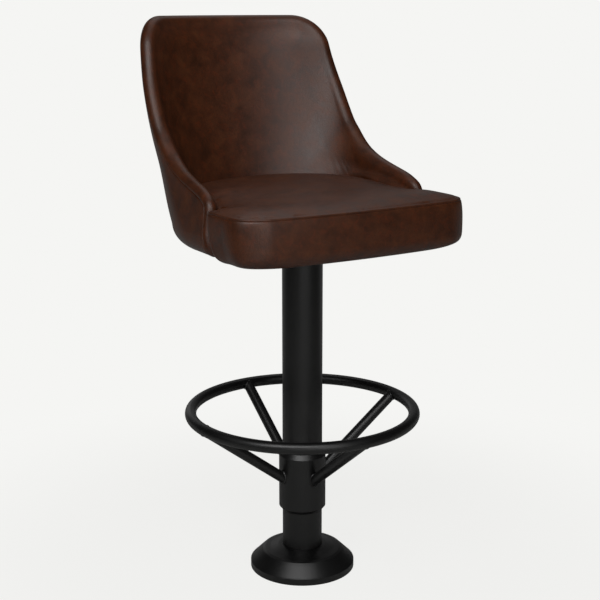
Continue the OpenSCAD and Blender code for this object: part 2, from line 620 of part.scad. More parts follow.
module dust_cover() color(fabric) translate([0, 0, dust_z]) difference() {
    plan_slab(board_top_z, dust_t, -34, -12);
    at_seat_bolts() translate([0, 0, -1]) cylinder(d = bolt_d + 2 * bolt_hole_gap, h = 4, $fn = 48);
}

// tongue of the board under the back's rail
module board_tongue() {
    arc = [for (s = [-16 : 16]) let(p = wall(board_top_z, s / 16 * (rail_half + 0.03), -rail_out - 2)) [p[0], p[1]]];
    linear_extrude(board_top_z - board_step_z) polygon(concat([[-60, 60]], [[60, 60]], [for (i = [32 : -1 : 0]) arc[i]]));
}

module seat_board() color(ply) difference() {
    union() {
        translate([0, 0, seat_base_z]) plan_slab(board_top_z, leather_t + 1, -turn_under - fit_gap, -turn_under + pad_in - fit_gap);
        translate([0, 0, board_low_z]) plan_slab(board_top_z, board_step_z - board_low_z + 1, -lower_roll_r, -4);
        translate([0, 0, board_step_z]) plan_slab(board_top_z, board_top_z - board_step_z, -8, 0);
        translate([0, 0, board_step_z]) board_tongue();
    }
    at_seat_bolts() {
        translate([0, 0, seat_base_z - 1]) cylinder(r = tee_barrel_r + fit_gap, h = board_top_z - seat_base_z + 2, $fn = 48);
        translate([0, 0, board_top_z - tee_flange_t - 0.2]) cylinder(r = tee_flange_r + 0.4, h = tee_flange_t + 2, $fn = 48);
    }
}

roll_angles = [10, 40, 65, 90];
// offset of the foam's lower roll at the board's top, on the flat between the first two angles
function roll_flat(r) = let(a = roll_angles[0], b = roll_angles[1], s = (roll_z - board_top_z - r * sin(a)) / (r * sin(b) - r * sin(a)))
    -roll_in + r * (cos(a) * (1 - s) + cos(b) * s);
// levels and offsets of the cushion's side from the seam down, at a level lift above the foam
function side_profile(lift) = let(r = lower_roll_r - leather_t + lift) [
    [lift - leather_t, seam_z + lift - leather_t],
    [side_off(mid_side_z) + lift - leather_t, mid_side_z],
    [side_swell + lift - leather_t, swell_z],
    for (a = roll_angles) [-roll_in + r * cos(a), roll_z - r * sin(a)]];

module seat_boxing() color(leather) {
    out = side_profile(leather_t);
    inn = side_profile(0);
    profile = concat(out, [[-turn_under, seat_base_z], [-turn_under, board_low_z]], [for (i = [len(inn) - 1 : -1 : 0]) inn[i]]);
    paths = [for (p = profile) front_path(p[1] > mid_side_z ? seam_z : max(p[1], board_top_z), p[0])];
    loft([for (i = [0 : len(paths[0]) - 1]) [for (j = [0 : len(profile) - 1])
        [paths[j][i][0], paths[j][i][1], profile[j][1]]]]);
}

module edge_foam() color(foam) {
    r = lower_roll_r - leather_t - 2 * fit_gap;
    profile = [[roll_flat(r), board_top_z],
        for (a = [roll_angles[1], roll_angles[2], 90]) [-roll_in + r * cos(a), roll_z - r * sin(a)],
        [-lower_roll_r + fit_gap, board_low_z], [-lower_roll_r + fit_gap, board_step_z - fit_gap],
        [-8 + fit_gap, board_step_z - fit_gap], [-8 + fit_gap, board_top_z]];
    paths = [for (p = profile) front_path(board_top_z, p[0])];
    loft([for (i = [0 : len(paths[0]) - 1]) [for (j = [0 : len(profile) - 1])
        [paths[j][i][0], paths[j][i][1], profile[j][1]]]]);
}

module seat_foam() color(foam) {
    loops = concat([plan_loop(board_top_z, board_top_z, roll_flat(lower_roll_r - leather_t) - fit_gap, -fit_gap),
        plan_loop(swell_z, swell_z, side_swell - leather_t - fit_gap, -1),
        plan_loop(mid_side_z, mid_side_z + rear_rise / 2, side_off(mid_side_z) - leather_t, -0.8),
        lower(edge_foam, leather_t)], crown_loops(lower(edge_foam, leather_t), 0));
    stack(loops, [0, crown_y, board_top_z], [0, crown_y, seam_z + crown_h - leather_t]);
}

module seat_top_panel() color(leather) {
    up = concat([edge_outer], crown_loops(edge_outer, 0));
    down = concat([lower(edge_foam, leather_t)], crown_loops(lower(edge_foam, leather_t), 0));
    n = len(up);
    k = loop_n;
    centre_up = n * k;
    front = concat([for (l = up) each l], [[0, crown_y, seam_z + crown_h]]);
    rear = concat([for (l = down) each l], [[0, crown_y, seam_z + crown_h - leather_t]]);
    tris = [for (i = [0 : n - 2], j = [0 : k - 1]) let(j2 = (j + 1) % k)
            each quad(i * k + j, (i + 1) * k + j, (i + 1) * k + j2, i * k + j2),
        for (j = [0 : k - 1]) [centre_up, (n - 1) * k + (j + 1) % k, (n - 1) * k + j]];
    sheet(front, rear, tris, [for (j = [k - 1 : -1 : 0]) j]);
}

// ---- back
function rail_ring(z, outer, inner, half) = let(n = 20) concat(
    [for (s = [0 : n]) wall(z, half * (2 * s / n - 1), -outer)],
    [for (s = [n : -1 : 0]) wall(z, half * (2 * s / n - 1), -inner)]);

module rail_body(outer = rail_out, inner = rail_in, half = rail_half, more = 0) {
    zs = [for (f = [0 : 3]) board_top_z + (rail_h + more) * f / 3];
    rings = [for (z = zs) rail_ring(z, outer, inner, half)];
    k = len(rings[0]);
    h = k / 2;
    polyhedron(points = [for (r = rings) each r], faces = [
        for (i = [0 : 2], j = [0 : k - 1]) let(j2 = (j + 1) % k)
            each quad(i * k + j, i * k + j2, (i + 1) * k + j2, (i + 1) * k + j),
        for (j = [0 : h - 2]) each quad(j, k - 1 - j, k - 2 - j, j + 1),
        for (j = [0 : h - 2]) each quad(3 * k + j + 1, 3 * k + k - 2 - j, 3 * k + k - 1 - j, 3 * k + j)]);
}

// depth of the rail square to the leaning wall
rail_deep = rail_in * 8 / norm([8, wall_back(back_bolt_z + 4) - wall_back(back_bolt_z - 4)]);
// places children on the wall's middle at a bolt, +Z pointing outward
module at_back_bolts() {
    z = back_bolt_z;
    for (t = back_bolt_turns) {
        side = wall(z, t + 0.01, 0) - wall(z, t - 0.01, 0);
        up = wall(z + 4, t, 0) - wall(z - 4, t, 0);
        out = unit(cross(up, side));
        translate(wall(z, t, 0)) rotate([0, acos(out[2]), atan2(out[1], out[0])]) children();
    }
}

bolt_head_out = ply_out - 1.5;
back_bolt_head_h = 3.4;

module back_bolt_holes() {
    at_back_bolts() {
        translate([0, 0, -rail_in - 6]) cylinder(d = back_bolt_d + 2 * fit_gap, h = rail_in + ply_out + 8, $fn = 32);
        translate([0, 0, bolt_head_out - back_bolt_head_h - fit_gap]) cylinder(r = back_bolt_d + 1.2, h = 12, $fn = 32);
        translate([0, 0, -rail_in - 6]) cylinder(r = back_bolt_d / 2 + 1.9, h = rail_in - rail_deep + 18, $fn = 32);
        translate([0, 0, -rail_in - 6]) cylinder(r = tee_flange_r, h = rail_in - rail_deep + 9, $fn = 32);
    }
}

module back_rail() color(ply) difference() {
    rail_body();
    back_bolt_holes();
}

module back_bolts() color(steel) at_back_bolts() {
    translate([0, 0, -rail_deep + 4]) cylinder(d = back_bolt_d, h = rail_deep - 4 + bolt_head_out - 1, $fn = 32);
    translate([0, 0, bolt_head_out - back_bolt_head_h]) cylinder(r = back_bolt_d + 1, h = back_bolt_head_h, $fn = 32);
}

module back_tee_nuts() color(steel) at_back_bolts() difference() {
    union() {
        translate([0, 0, 1.3 - rail_deep]) cylinder(r = tee_flange_r - 0.4, h = tee_flange_t, $fn = 32);
        translate([0, 0, 1.3 - rail_deep]) cylinder(r = back_bolt_d / 2 + 1.7, h = 10, $fn = 32);
    }
    translate([0, 0, -rail_deep]) cylinder(r = back_bolt_d / 2 + press_gap, h = rail_deep, $fn = 32);
}

module ply_body() {
    function ply_pt(i, j, off) = j < under_rows
        ? wall(ply_foot_z, low_turn(i, ply_foot_z, rim_turn(ply_foot_z)), off)
        : wall(row_z(i, j), grid_turns[i][j], off);
    js = [under_rows - 1, for (j = [under_rows : rows]) j];
    m = len(js);
    inner = [for (i = [0 : cols], j = js) ply_pt(i, j, -ply_in)];
    outer = [for (i = [0 : cols], j = js) ply_pt(i, j, ply_out)];
    tris = [for (i = [0 : cols - 1], j = [0 : m - 2])
        each quad(i * m + j, i * m + j + 1, (i + 1) * m + j + 1, (i + 1) * m + j)];
    edge = [for (j = [0 : m - 1]) j, for (i = [1 : cols]) i * m + m - 1, for (j = [m - 2 : -1 : 0]) cols * m + j,
        for (i = [cols - 1 : -1 : 1]) i * m];
    sheet(outer, inner, tris, edge);
}

module back_board() color(ply) difference() {
    ply_body();
    back_bolt_holes();
}

// foam over the whole back, before it is cut round the plywood
module padding() {
    n = grid_n;
    m = n + (last_station + 1) * roll_steps;
    pts = concat(grid_pts(true, 0), roll_pts(1, roll_steps, 0), grid_pts(false, 0));
    // the roll's last step lies on the outer grid, so its own index is used for both
    function outer_at(i, j) = m + at(i, j);
    function join(k, s) = s == roll_steps ? outer_at(stations[k][0], stations[k][1]) : at_roll(k, s);
    polyhedron(points = pts, faces = [for (f = [
        for (q = inner_quads) q,
        for (q = outer_quads) [q[0] + m, q[1] + m, q[2] + m],
        for (k = [0 : last_station - 1], s = [0 : roll_steps - 1])
            each quad(join(k, s), join(k, s + 1), join(k + 1, s + 1), join(k + 1, s)),
        for (i = [0 : cols - 1]) each quad(at(i, 0), at(i + 1, 0), outer_at(i + 1, 0), outer_at(i, 0)),
        for (s = [0 : roll_steps - 2]) [at(0, 0), join(0, s + 2), join(0, s + 1)],
        for (s = [0 : roll_steps - 2]) [at(cols, 0), join(last_station, s + 1), join(last_station, s + 2)]])
        [f[2], f[1], f[0]]]);
}

module back_foam() color(foam) difference() {
    padding();
    ply_body();
    rail_body(ply_in - 1, pad_in, rail_half + 0.01, 0.6);   // the rail's place, from inside the plywood to the cover
    seat_board();
}

// inner cover: the inside of the back and the whole roll, to the seam behind it
module back_inner_cover() color(leather) {
    edge = concat([for (i = [cols : -1 : 0]) at(i, 0)], [for (s = [1 : roll_steps]) at_roll(0, s)],
        [for (k = [1 : last_station]) at_roll(k, roll_steps)],
        [for (s = [roll_steps - 1 : -1 : 1]) at_roll(last_station, s)]);
    sheet(concat(grid_pts(true, 0), roll_pts(1, roll_steps, 0)),
        concat(grid_pts(true, leather_t), roll_pts(1, roll_steps, leather_t)),
        concat(inner_quads, roll_quads), edge);
}

// outer cover: from the seam down the outside and under the foot to the board
module back_outer_cover() color(leather) {
    edge = concat([for (i = [0 : cols]) at(i, 0)], [for (j = [1 : rows]) at(cols, j)],
        [for (i = [cols - 1 : -1 : 0]) at(i, rows)], [for (j = [rows - 1 : -1 : 1]) at(0, j)]);
    sheet(grid_pts(false, 0), grid_pts(false, leather_t), outer_quads, edge, turned = true);
}

floor_plate();
column_tube();
foot_weld_bead();
collar();
foot_ring();
foot_ring_struts();
bearing_hub();
upper_bush();
lower_bush();
lower_race();
bearing_balls();
ball_cage();
upper_race();
spindle();
spindle_washer();
spindle_nut();
floor_cover();
seat_plate();
seat_bolts();
seat_bolt_washers();
seat_tee_nuts();
dust_cover();
seat_board();
edge_foam();
seat_foam();
seat_top_panel();
seat_boxing();
back_rail();
back_board();
back_foam();
back_inner_cover();
back_outer_cover();
back_bolts();
back_tee_nuts();
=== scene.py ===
import bmesh
import bpy
import json
import math
from mathutils import Matrix, Vector


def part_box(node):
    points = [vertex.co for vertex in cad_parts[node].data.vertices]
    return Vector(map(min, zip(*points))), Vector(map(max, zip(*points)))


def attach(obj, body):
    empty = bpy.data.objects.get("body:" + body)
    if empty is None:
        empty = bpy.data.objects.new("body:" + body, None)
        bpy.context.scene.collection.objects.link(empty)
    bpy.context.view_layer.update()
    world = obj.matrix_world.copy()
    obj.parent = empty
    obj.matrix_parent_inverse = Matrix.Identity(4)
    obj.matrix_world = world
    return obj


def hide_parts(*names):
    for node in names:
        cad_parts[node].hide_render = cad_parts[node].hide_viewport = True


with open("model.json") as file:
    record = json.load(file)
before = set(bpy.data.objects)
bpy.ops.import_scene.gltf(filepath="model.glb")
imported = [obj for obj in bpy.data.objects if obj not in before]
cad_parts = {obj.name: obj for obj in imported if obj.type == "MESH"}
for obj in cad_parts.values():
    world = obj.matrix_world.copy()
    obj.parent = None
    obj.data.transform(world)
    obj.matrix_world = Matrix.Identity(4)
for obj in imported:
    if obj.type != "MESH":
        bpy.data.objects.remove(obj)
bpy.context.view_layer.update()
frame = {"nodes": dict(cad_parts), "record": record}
scene = bpy.context.scene
mm = 0.001
print("frame loaded with", len(frame["nodes"]), "nodes")


# camera and studio
view = {
    "place": (-1.2187, -1.9556, 1.0749),  # metres
    "tilt": 76.74,                        # degrees from straight down
    "heading": -31.82,
    "lens": 75.84,                        # mm on a 36 mm frame
}


def addObject(name, data):
    thing = bpy.data.objects.new(name, data)
    scene.collection.objects.link(thing)
    return thing


def addCamera():
    data = bpy.data.cameras.new("photoCamera")
    data.lens = view["lens"]
    data.sensor_width = 36
    data.clip_end = 50
    camera = addObject("photoCamera", data)
    camera.location = view["place"]
    camera.rotation_euler = (math.radians(view["tilt"]), 0, math.radians(view["heading"]))
    scene.camera = camera


addCamera()
scene.view_settings.view_transform = "Standard"


def linear(code):
    parts = [int(code[i:i + 2], 16) / 255 for i in (1, 3, 5)]
    return tuple(p / 12.92 if p <= 0.04045 else ((p + 0.055) / 1.055) ** 2.4 for p in parts) + (1.0,)


# a link from a node takes its first output
def addNode(tree, kind, settings=None, links=None):
    node = tree.nodes.new("ShaderNode" + kind)
    for key, value in (settings or {}).items():
        if key == "ramp":
            ramp = node.color_ramp
            while len(ramp.elements) < len(value):
                ramp.elements.new(0.5)
            for element, (place, colour) in zip(ramp.elements, value):
                element.position = place
                element.color = linear(colour)
        elif isinstance(key, int) or key in node.inputs:
            node.inputs[key].default_value = value
        else:
            setattr(node, key, value)
    for key, source in (links or {}).items():
        tree.links.new(source.outputs[0] if isinstance(source, bpy.types.Node) else source, node.inputs[key])
    return node


def newMaterial(name):
    material = bpy.data.materials.new(name)
    material.use_nodes = True
    tree = material.node_tree
    tree.nodes.clear()
    return material, tree, addNode(tree, "TexCoord").outputs["Object"]


def finishMaterial(material, shader):
    addNode(material.node_tree, "OutputMaterial", links={"Surface": shader})
    return material


studio = {
    "pale": "#f5f5f3",      # floor and backdrop as the camera sees them
    "floorShare": 0.1,      # share of the floor's tone that its own light and shadow give, close to the stool
    "shadowReach": (0.35, 1.1),
    "floorSize": 3000.0,
    "roomTone": 0.03,
    "backdropWay": (0.529, 0.849, 0.0),  # the backdrop is behind the stool as the photograph sees it
    "backdropEdge": (0.82, 0.98),
    "backdropGloss": 0.2,   # the backdrop is lit less strongly than the camera's plain tone shows
    "target": (0.0, 0.0, 0.72),
    "lamps": {
        # name: direction from the stool in degrees (turn, height), distance, width, height, power, all plain white
        "highSoftbox": (-144, 42, 2.7, 1.5, 1.1, 28),
        "frontSoftbox": (-108, 46, 2.7, 1.3, 1.1, 14),
        "keySoftbox": (-98, 13, 2.7, 1.1, 1.7, 12),
        "lowStrip": (-125, -4, 2.7, 0.6, 0.9, 2),
        "leftFill": (-160, 24, 2.7, 1.2, 1.4, 6),
        "backLight": (57, 50, 2.7, 1.6, 1.2, 4.5),
        "rearSoftbox": (84, 8, 2.7, 1.4, 1.4, 2),
        "topSoftbox": (60, 80, 2.4, 1.6, 1.6, 3.5),
    },
}


def addLamps():
    target = Vector(studio["target"])
    for name, (turn, height, distance, width, tall, power) in studio["lamps"].items():
        a, b = math.radians(turn), math.radians(height)
        away = Vector((math.cos(a) * math.cos(b), math.sin(a) * math.cos(b), math.sin(b)))
        data = bpy.data.lights.new(name, "AREA")
        data.shape = "RECTANGLE"
        data.size, data.size_y = width, tall
        data.energy = power
        lamp = addObject(name, data)
        lamp.location = target + away * distance
        lamp.rotation_euler = (-away).to_track_quat("-Z", "Y").to_euler()


# the camera sees the pale tone everywhere, gloss sees it where the backdrop is, and the rest is a dim room
def seenRays(tree, where):
    path = addNode(tree, "LightPath")
    both = addNode(tree, "Math", {"operation": "MAXIMUM"},
                   {0: path.outputs["Is Camera Ray"], 1: path.outputs["Is Transmission Ray"]})
    ahead = addNode(tree, "VectorMath", {"operation": "DOT_PRODUCT", 1: studio["backdropWay"]}, {0: where})
    start, full = studio["backdropEdge"]
    share = addNode(tree, "MapRange", {"From Min": start, "From Max": full, "To Max": studio["backdropGloss"]},
                    {"Value": ahead.outputs["Value"]})
    gloss = addNode(tree, "Math", {"operation": "MULTIPLY"}, {0: path.outputs["Is Glossy Ray"], 1: share})
    return addNode(tree, "Math", {"operation": "MAXIMUM"}, {0: both, 1: gloss})


def addWorld():
    world = bpy.data.worlds.new("studioRoom")
    scene.world = world
    world.use_nodes = True
    tree = world.node_tree
    tree.nodes.clear()
    seen = seenRays(tree, addNode(tree, "TexCoord").outputs["Generated"])
    room = (studio["roomTone"],) * 3 + (1,)
    tone = addNode(tree, "Mix", {"data_type": "RGBA", 6: room, 7: linear(studio["pale"])}, {"Factor": seen})
    light = addNode(tree, "Background", links={"Color": tone.outputs[2]})
    addNode(tree, "OutputWorld", links={"Surface": light})


def addFloor():
    bm = bmesh.new()
    bmesh.ops.create_grid(bm, x_segments=1, y_segments=1, size=studio["floorSize"] / 2)
    mesh = bpy.data.meshes.new("studioFloor")
    bm.to_mesh(mesh)
    bm.free()
    floor = addObject("studioFloor", mesh)
    material, tree, where = newMaterial("paleFloor")
    pale = linear(studio["pale"])
    away = addNode(tree, "VectorMath", {"operation": "LENGTH"}, {0: where})
    near, far = studio["shadowReach"]
    share = addNode(tree, "MapRange", {"interpolation_type": "SMOOTHSTEP", "From Min": near, "From Max": far,
                                       "To Min": studio["floorShare"], "To Max": 0.0},
                    {"Value": away.outputs["Value"]})
    own = addNode(tree, "BsdfDiffuse", {"Color": pale})
    glow = addNode(tree, "Emission", {"Color": pale})
    both = addNode(tree, "MixShader", links={0: share, 1: glow, 2: own})
    plain = addNode(tree, "BsdfDiffuse", {"Color": (0.5, 0.5, 0.49, 1)})
    mix = addNode(tree, "MixShader", links={0: seenRays(tree, where), 1: plain, 2: both})
    mesh.materials.append(finishMaterial(material, mix))


addLamps()
addWorld()
addFloor()
print("camera and studio set")


# materials
# Pigmented cowhide, full grain and lightly waxed: satin, with darker and redder clouds and fine pebbling
def makeLeather():
    material, tree, where = newMaterial("brownLeather")
    cloud = addNode(tree, "TexNoise", {"Scale": 30.0, "Detail": 5.0, "Roughness": 0.62, "Distortion": 0.5},
                    {"Vector": where})       # clouds about 30 mm across
    red = addNode(tree, "TexNoise", {"Scale": 75.0, "Detail": 4.0, "Roughness": 0.7, "Distortion": 0.9},
                  {"Vector": where})         # redder flecks about 13 mm across
    # dark flecks, 3 mm
    fleck = addNode(tree, "TexNoise", {"Scale": 330.0, "Detail": 3.0, "Roughness": 0.6}, {"Vector": where})
    base = addNode(tree, "ValToRGB", {"ramp": [(0.3, "#321706"), (0.5, "#421f09"), (0.72, "#50280d")]}, {"Fac": cloud})
    redShare = addNode(tree, "MapRange", {"From Min": 0.5, "From Max": 0.75, "To Max": 0.55}, {"Value": red})
    warm = addNode(tree, "Mix", {"data_type": "RGBA", 7: linear("#5f2609")}, {"Factor": redShare, 6: base})
    darkShare = addNode(tree, "MapRange", {"From Min": 0.52, "From Max": 0.7, "To Max": 0.4}, {"Value": fleck})
    tone = addNode(tree, "Mix", {"data_type": "RGBA", 7: linear("#261105")}, {"Factor": darkShare, 6: warm.outputs[2]})
    bend = addNode(tree, "TexNoise", {"Scale": 190.0}, {"Vector": where})
    pushed = addNode(tree, "VectorMath", {"operation": "MULTIPLY_ADD", 1: (0.0016, 0.0016, 0.0016)},
                     {0: bend.outputs["Color"], 2: where})
    # pebbles are near 1 mm on cowhide, drawn at 1.7 mm so that they show, with creases 6 mm apart
    pebble = addNode(tree, "TexVoronoi", {"Scale": 590.0}, {"Vector": pushed})
    crease = addNode(tree, "TexVoronoi", {"Scale": 170.0, "feature": "DISTANCE_TO_EDGE"}, {"Vector": pushed})
    creaseDepth = addNode(tree, "MapRange", {"From Max": 0.09}, {"Value": crease.outputs["Distance"]})
    height = addNode(tree, "Math", {"operation": "MULTIPLY_ADD", 1: -0.9},
                     {0: pebble.outputs["Distance"], 2: creaseDepth})
    bump = addNode(tree, "Bump", {"Strength": 0.2, "Distance": 0.0003}, {"Height": height})
    rough = addNode(tree, "MapRange", {"From Min": 0.3, "From Max": 0.7, "To Min": 0.4, "To Max": 0.48},
                    {"Value": cloud})
    shader = addNode(tree, "BsdfPrincipled", {"IOR": 1.47, "Specular IOR Level": 0.55},
                     {"Base Color": tone.outputs[2], "Roughness": rough, "Normal": bump})
    return finishMaterial(material, shader)


# Polyester powder coat, baked: black, satin, with the faint orange peel that the spray leaves
def makePowderCoat():
    material, tree, where = newMaterial("blackPowderCoat")
    peel = addNode(tree, "TexNoise", {"Scale": 620.0, "Roughness": 0.55}, {"Vector": where})    # 1.6 mm
    dust = addNode(tree, "TexNoise", {"Scale": 14.0, "Detail": 4.0, "Roughness": 0.6}, {"Vector": where})    # 70 mm
    bump = addNode(tree, "Bump", {"Strength": 0.3, "Distance": 0.00012}, {"Height": peel})
    rough = addNode(tree, "MapRange", {"From Min": 0.3, "From Max": 0.7, "To Min": 0.36, "To Max": 0.44},
                    {"Value": dust})
    tone = addNode(tree, "ValToRGB", {"ramp": [(0.35, "#060606"), (0.7, "#0a0a0a")]}, {"Fac": dust})
    shader = addNode(tree, "BsdfPrincipled", {"IOR": 1.5, "Specular IOR Level": 0.6},
                     {"Base Color": tone, "Roughness": rough, "Normal": bump})
    return finishMaterial(material, shader)


# Zinc-plated steel: pale grey metal with a faint warm-blue cloud from its passivation
def makeZinc():
    material, tree, where = newMaterial("zincPlatedSteel")
    cloud = addNode(tree, "TexNoise", {"Scale": 90.0, "Detail": 4.0, "Roughness": 0.6}, {"Vector": where})    # 11 mm
    grit = addNode(tree, "TexNoise", {"Scale": 1500.0}, {"Vector": where})    # 0.7 mm, coarser than real to show
    tone = addNode(tree, "ValToRGB", {"ramp": [(0.35, "#b9bcc0"), (0.55, "#cdcdc9"), (0.75, "#d6d1c0")]},
                   {"Fac": cloud})
    rough = addNode(tree, "MapRange", {"From Min": 0.3, "From Max": 0.7, "To Min": 0.28, "To Max": 0.42},
                    {"Value": cloud})
    bump = addNode(tree, "Bump", {"Strength": 0.2, "Distance": 0.00005}, {"Height": grit})
    shader = addNode(tree, "BsdfPrincipled", {"Metallic": 1.0},
                     {"Base Color": tone, "Roughness": rough, "Normal": bump})
    return finishMaterial(material, shader)


# Ground bearing steel: bright, with rings left by the grinding wheel round the stool's axis
def makeBearingSteel():
    material, tree, where = newMaterial("groundBearingSteel")
    # rings 0.35 mm apart, coarser than real to show
    rings = addNode(tree, "TexWave", {"wave_type": "RINGS", "rings_direction": "Z", "Scale": 900.0, "Distortion": 2.0},
                    {"Vector": where})
    rough = addNode(tree, "MapRange", {"To Min": 0.12, "To Max": 0.22}, {"Value": rings.outputs[1]})
    bump = addNode(tree, "Bump", {"Strength": 0.12, "Distance": 0.00003}, {"Height": rings.outputs[1]})
    shader = addNode(tree, "BsdfPrincipled", {"Metallic": 1.0, "Base Color": linear("#d3d4d6")},
                     {"Roughness": rough, "Normal": bump})
    return finishMaterial(material, shader)


# Sintered bronze: dull gold-brown metal with open pores that hold the oil
def makeBronze():
    material, tree, where = newMaterial("sinteredBronze")
    pores = addNode(tree, "TexVoronoi", {"Scale": 1400.0}, {"Vector": where})    # 0.7 mm, coarser than real to show
    stain = addNode(tree, "TexNoise", {"Scale": 160.0, "Detail": 4.0}, {"Vector": where})    # 6 mm
    tone = addNode(tree, "ValToRGB", {"ramp": [(0.3, "#8f6a3b"), (0.7, "#b98d55")]}, {"Fac": stain})
    bump = addNode(tree, "Bump", {"Strength": 0.3, "Distance": 0.0001}, {"Height": pores.outputs["Distance"]})
    shader = addNode(tree, "BsdfPrincipled", {"Metallic": 1.0, "Roughness": 0.38},
                     {"Base Color": tone, "Normal": bump})
    return finishMaterial(material, shader)


# Polyurethane foam, cut from block: cream, matt, with open cells about 1 mm across
def makeFoam():
    material, tree, where = newMaterial("cutPolyurethaneFoam")
    cells = addNode(tree, "TexVoronoi", {"Scale": 900.0}, {"Vector": where})
    age = addNode(tree, "TexNoise", {"Scale": 9.0, "Detail": 3.0}, {"Vector": where})
    tone = addNode(tree, "ValToRGB", {"ramp": [(0.35, "#e2d8b6"), (0.65, "#ece5cc")]}, {"Fac": age})
    bump = addNode(tree, "Bump", {"Strength": 0.6, "Distance": 0.0004}, {"Height": cells.outputs["Distance"]})
    shader = addNode(tree, "BsdfPrincipled", {"Roughness": 0.95, "Specular IOR Level": 0.2},
                     {"Base Color": tone, "Normal": bump})
    return finishMaterial(material, shader)


# Birch plywood: pale veneers 1.4 mm thick whose edges show as light and dark bands
def makePlywood():
    material, tree, where = newMaterial("birchPlywood")
    # grain 6 mm across and 50 mm along
    stretched = addNode(tree, "Mapping", {"Scale": (14.0, 1.6, 1.0)}, {"Vector": where})
    grain = addNode(tree, "TexNoise", {"Scale": 12.0, "Detail": 6.0, "Roughness": 0.6, "Distortion": 0.3},
                    {"Vector": stretched})
    # a light and a dark veneer, 2.8 mm
    plies = addNode(tree, "TexWave", {"bands_direction": "Z", "Scale": 112.0, "Distortion": 0.3}, {"Vector": where})
    tone = addNode(tree, "ValToRGB", {"ramp": [(0.3, "#b68a5c"), (0.55, "#cfab7d"), (0.75, "#dcbf94")]}, {"Fac": grain})
    banded = addNode(tree, "Mix", {"data_type": "RGBA", "blend_type": "MULTIPLY", "Factor": 0.3}, {6: tone, 7: plies})
    bump = addNode(tree, "Bump", {"Strength": 0.25, "Distance": 0.0002}, {"Height": grain})
    shader = addNode(tree, "BsdfPrincipled", {"Roughness": 0.62}, {"Base Color": banded.outputs[2], "Normal": bump})
    return finishMaterial(material, shader)


# Spun-bonded polypropylene dust cloth: black, matt, pressed with a small point pattern
def makeDustCloth():
    material, tree, where = newMaterial("blackDustCloth")
    points = addNode(tree, "TexVoronoi", {"Scale": 620.0, "Randomness": 0.0}, {"Vector": where})    # 1.6 mm apart
    fibre = addNode(tree, "TexNoise", {"Scale": 900.0, "Detail": 4.0, "Roughness": 0.7}, {"Vector": where})
    tone = addNode(tree, "ValToRGB", {"ramp": [(0.35, "#101010"), (0.7, "#1f1f1f")]}, {"Fac": fibre})
    bump = addNode(tree, "Bump", {"Strength": 0.5, "Distance": 0.0002}, {"Height": points.outputs["Distance"]})
    shader = addNode(tree, "BsdfPrincipled", {"Roughness": 0.85, "Specular IOR Level": 0.3},
                     {"Base Color": tone, "Normal": bump})
    return finishMaterial(material, shader)


finishes = {
    "brown_leather": makeLeather(), "black_powder_coat": makePowderCoat(), "zinc_steel": makeZinc(),
    "bearing_steel": makeBearingSteel(), "bronze": makeBronze(), "seat_foam": makeFoam(),
    "birch_plywood": makePlywood(), "black_cloth": makeDustCloth(),
}
for row in frame["record"]["subparts"]:
    mesh = frame["nodes"][row["node"]].data
    mesh.materials.clear()
    mesh.materials.append(finishes[row["material_slot"]])
print("materials made and given to the carried-over nodes")


# back, in millimetres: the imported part's setting out, with rounder forms near its edges
back = {
    "foot": 648.0, "top": 1050.0, "halfWidth": 208.0, "flare": 20.0, "rear": 211.0, "wrap": 261.0, "wrapLoss": 0.94,
    "lean": 110.0, "belly": 8.0, "armFront": 72.0, "armStep": 100.0, "armZ": 742.0, "roll": 14.0, "padding": 26.0,
    "corner": 60.0, "footRoll": 40.0, "footRollZ": 684.0, "coverFoot": 662.7,
    "rim": [(-0.02, -0.01), (0, 0), (0.1, 0.045), (0.207, 0.067), (0.222, 0.09), (0.247, 0.16), (0.273, 0.285),
            (0.302, 0.405), (0.341, 0.505), (0.387, 0.575), (0.438, 0.63), (0.478, 0.67), (0.58, 0.725),
            (0.735, 0.785), (0.88, 0.81), (1, 0.8)],
    "leather": 1.5,
    "padBlend": 50.0,     # length over which the padding reaches its full depth
    "edgeTilt": 20.0,     # slope in degrees where the rolled edge hands over to the padded face
    "edgeLift": 1.3, "edgeReach": 4.0,   # how far that place stands above and outside the edge's line
    "topSlope": 1.4,      # the padding reaches its depth sooner below the top edge
    "rollSetBack": 1.5,   # the roll starts this far behind the padded face
    "seamFold": 1.3,      # radius of each cover's edge where it turns into a seam
    "seamGap": 0.2, "seamDeep": 1.8,     # space between the covers there, and how far they run on inside
    "tuckUnder": 13.0,    # the outer cover goes on under the board, where it is tacked
    "endBlend": 45.0,     # the arm's end is thinner than the rest over this length
    "armThin": 8.0, "armThinTop": 800.0, "armThinOver": 75.0,    # by how much, below which level, over what height
    "frontLift": 4.5,     # the arm's end stops a little higher than the rest of the foot
    "frontFootRoll": 22.0, "frontFootColumns": 6,   # the foot's roll is tighter at the arm's end
    "underRows": 9, "rows": 36, "rollSteps": 10,
}


def clamp(x):
    return min(1.0, max(0.0, x))


def curveAt(table, x):
    x = min(table[-1][0], max(table[0][0], x))
    i = max(k for k in range(len(table) - 1) if table[k][0] <= x)

    def slope(k):
        a, b = max(0, k - 1), min(len(table) - 1, k + 1)
        return (table[b][1] - table[a][1]) / (table[b][0] - table[a][0])
    w = table[i + 1][0] - table[i][0]
    s = (x - table[i][0]) / w
    return ((2 * s ** 3 - 3 * s * s + 1) * table[i][1] + (s ** 3 - 2 * s * s + s) * slope(i) * w
            + (3 * s * s - 2 * s ** 3) * table[i + 1][1] + (s ** 3 - s * s) * slope(i + 1) * w)


def riseOf(z):
    return (z - back["foot"]) / (back["top"] - back["foot"])


def wallHalf(z):
    r = riseOf(z)
    return back["halfWidth"] + (back["flare"] / 2 * (1 + math.cos(math.pi * max(0, r) / 0.38)) if r < 0.38 else 0)


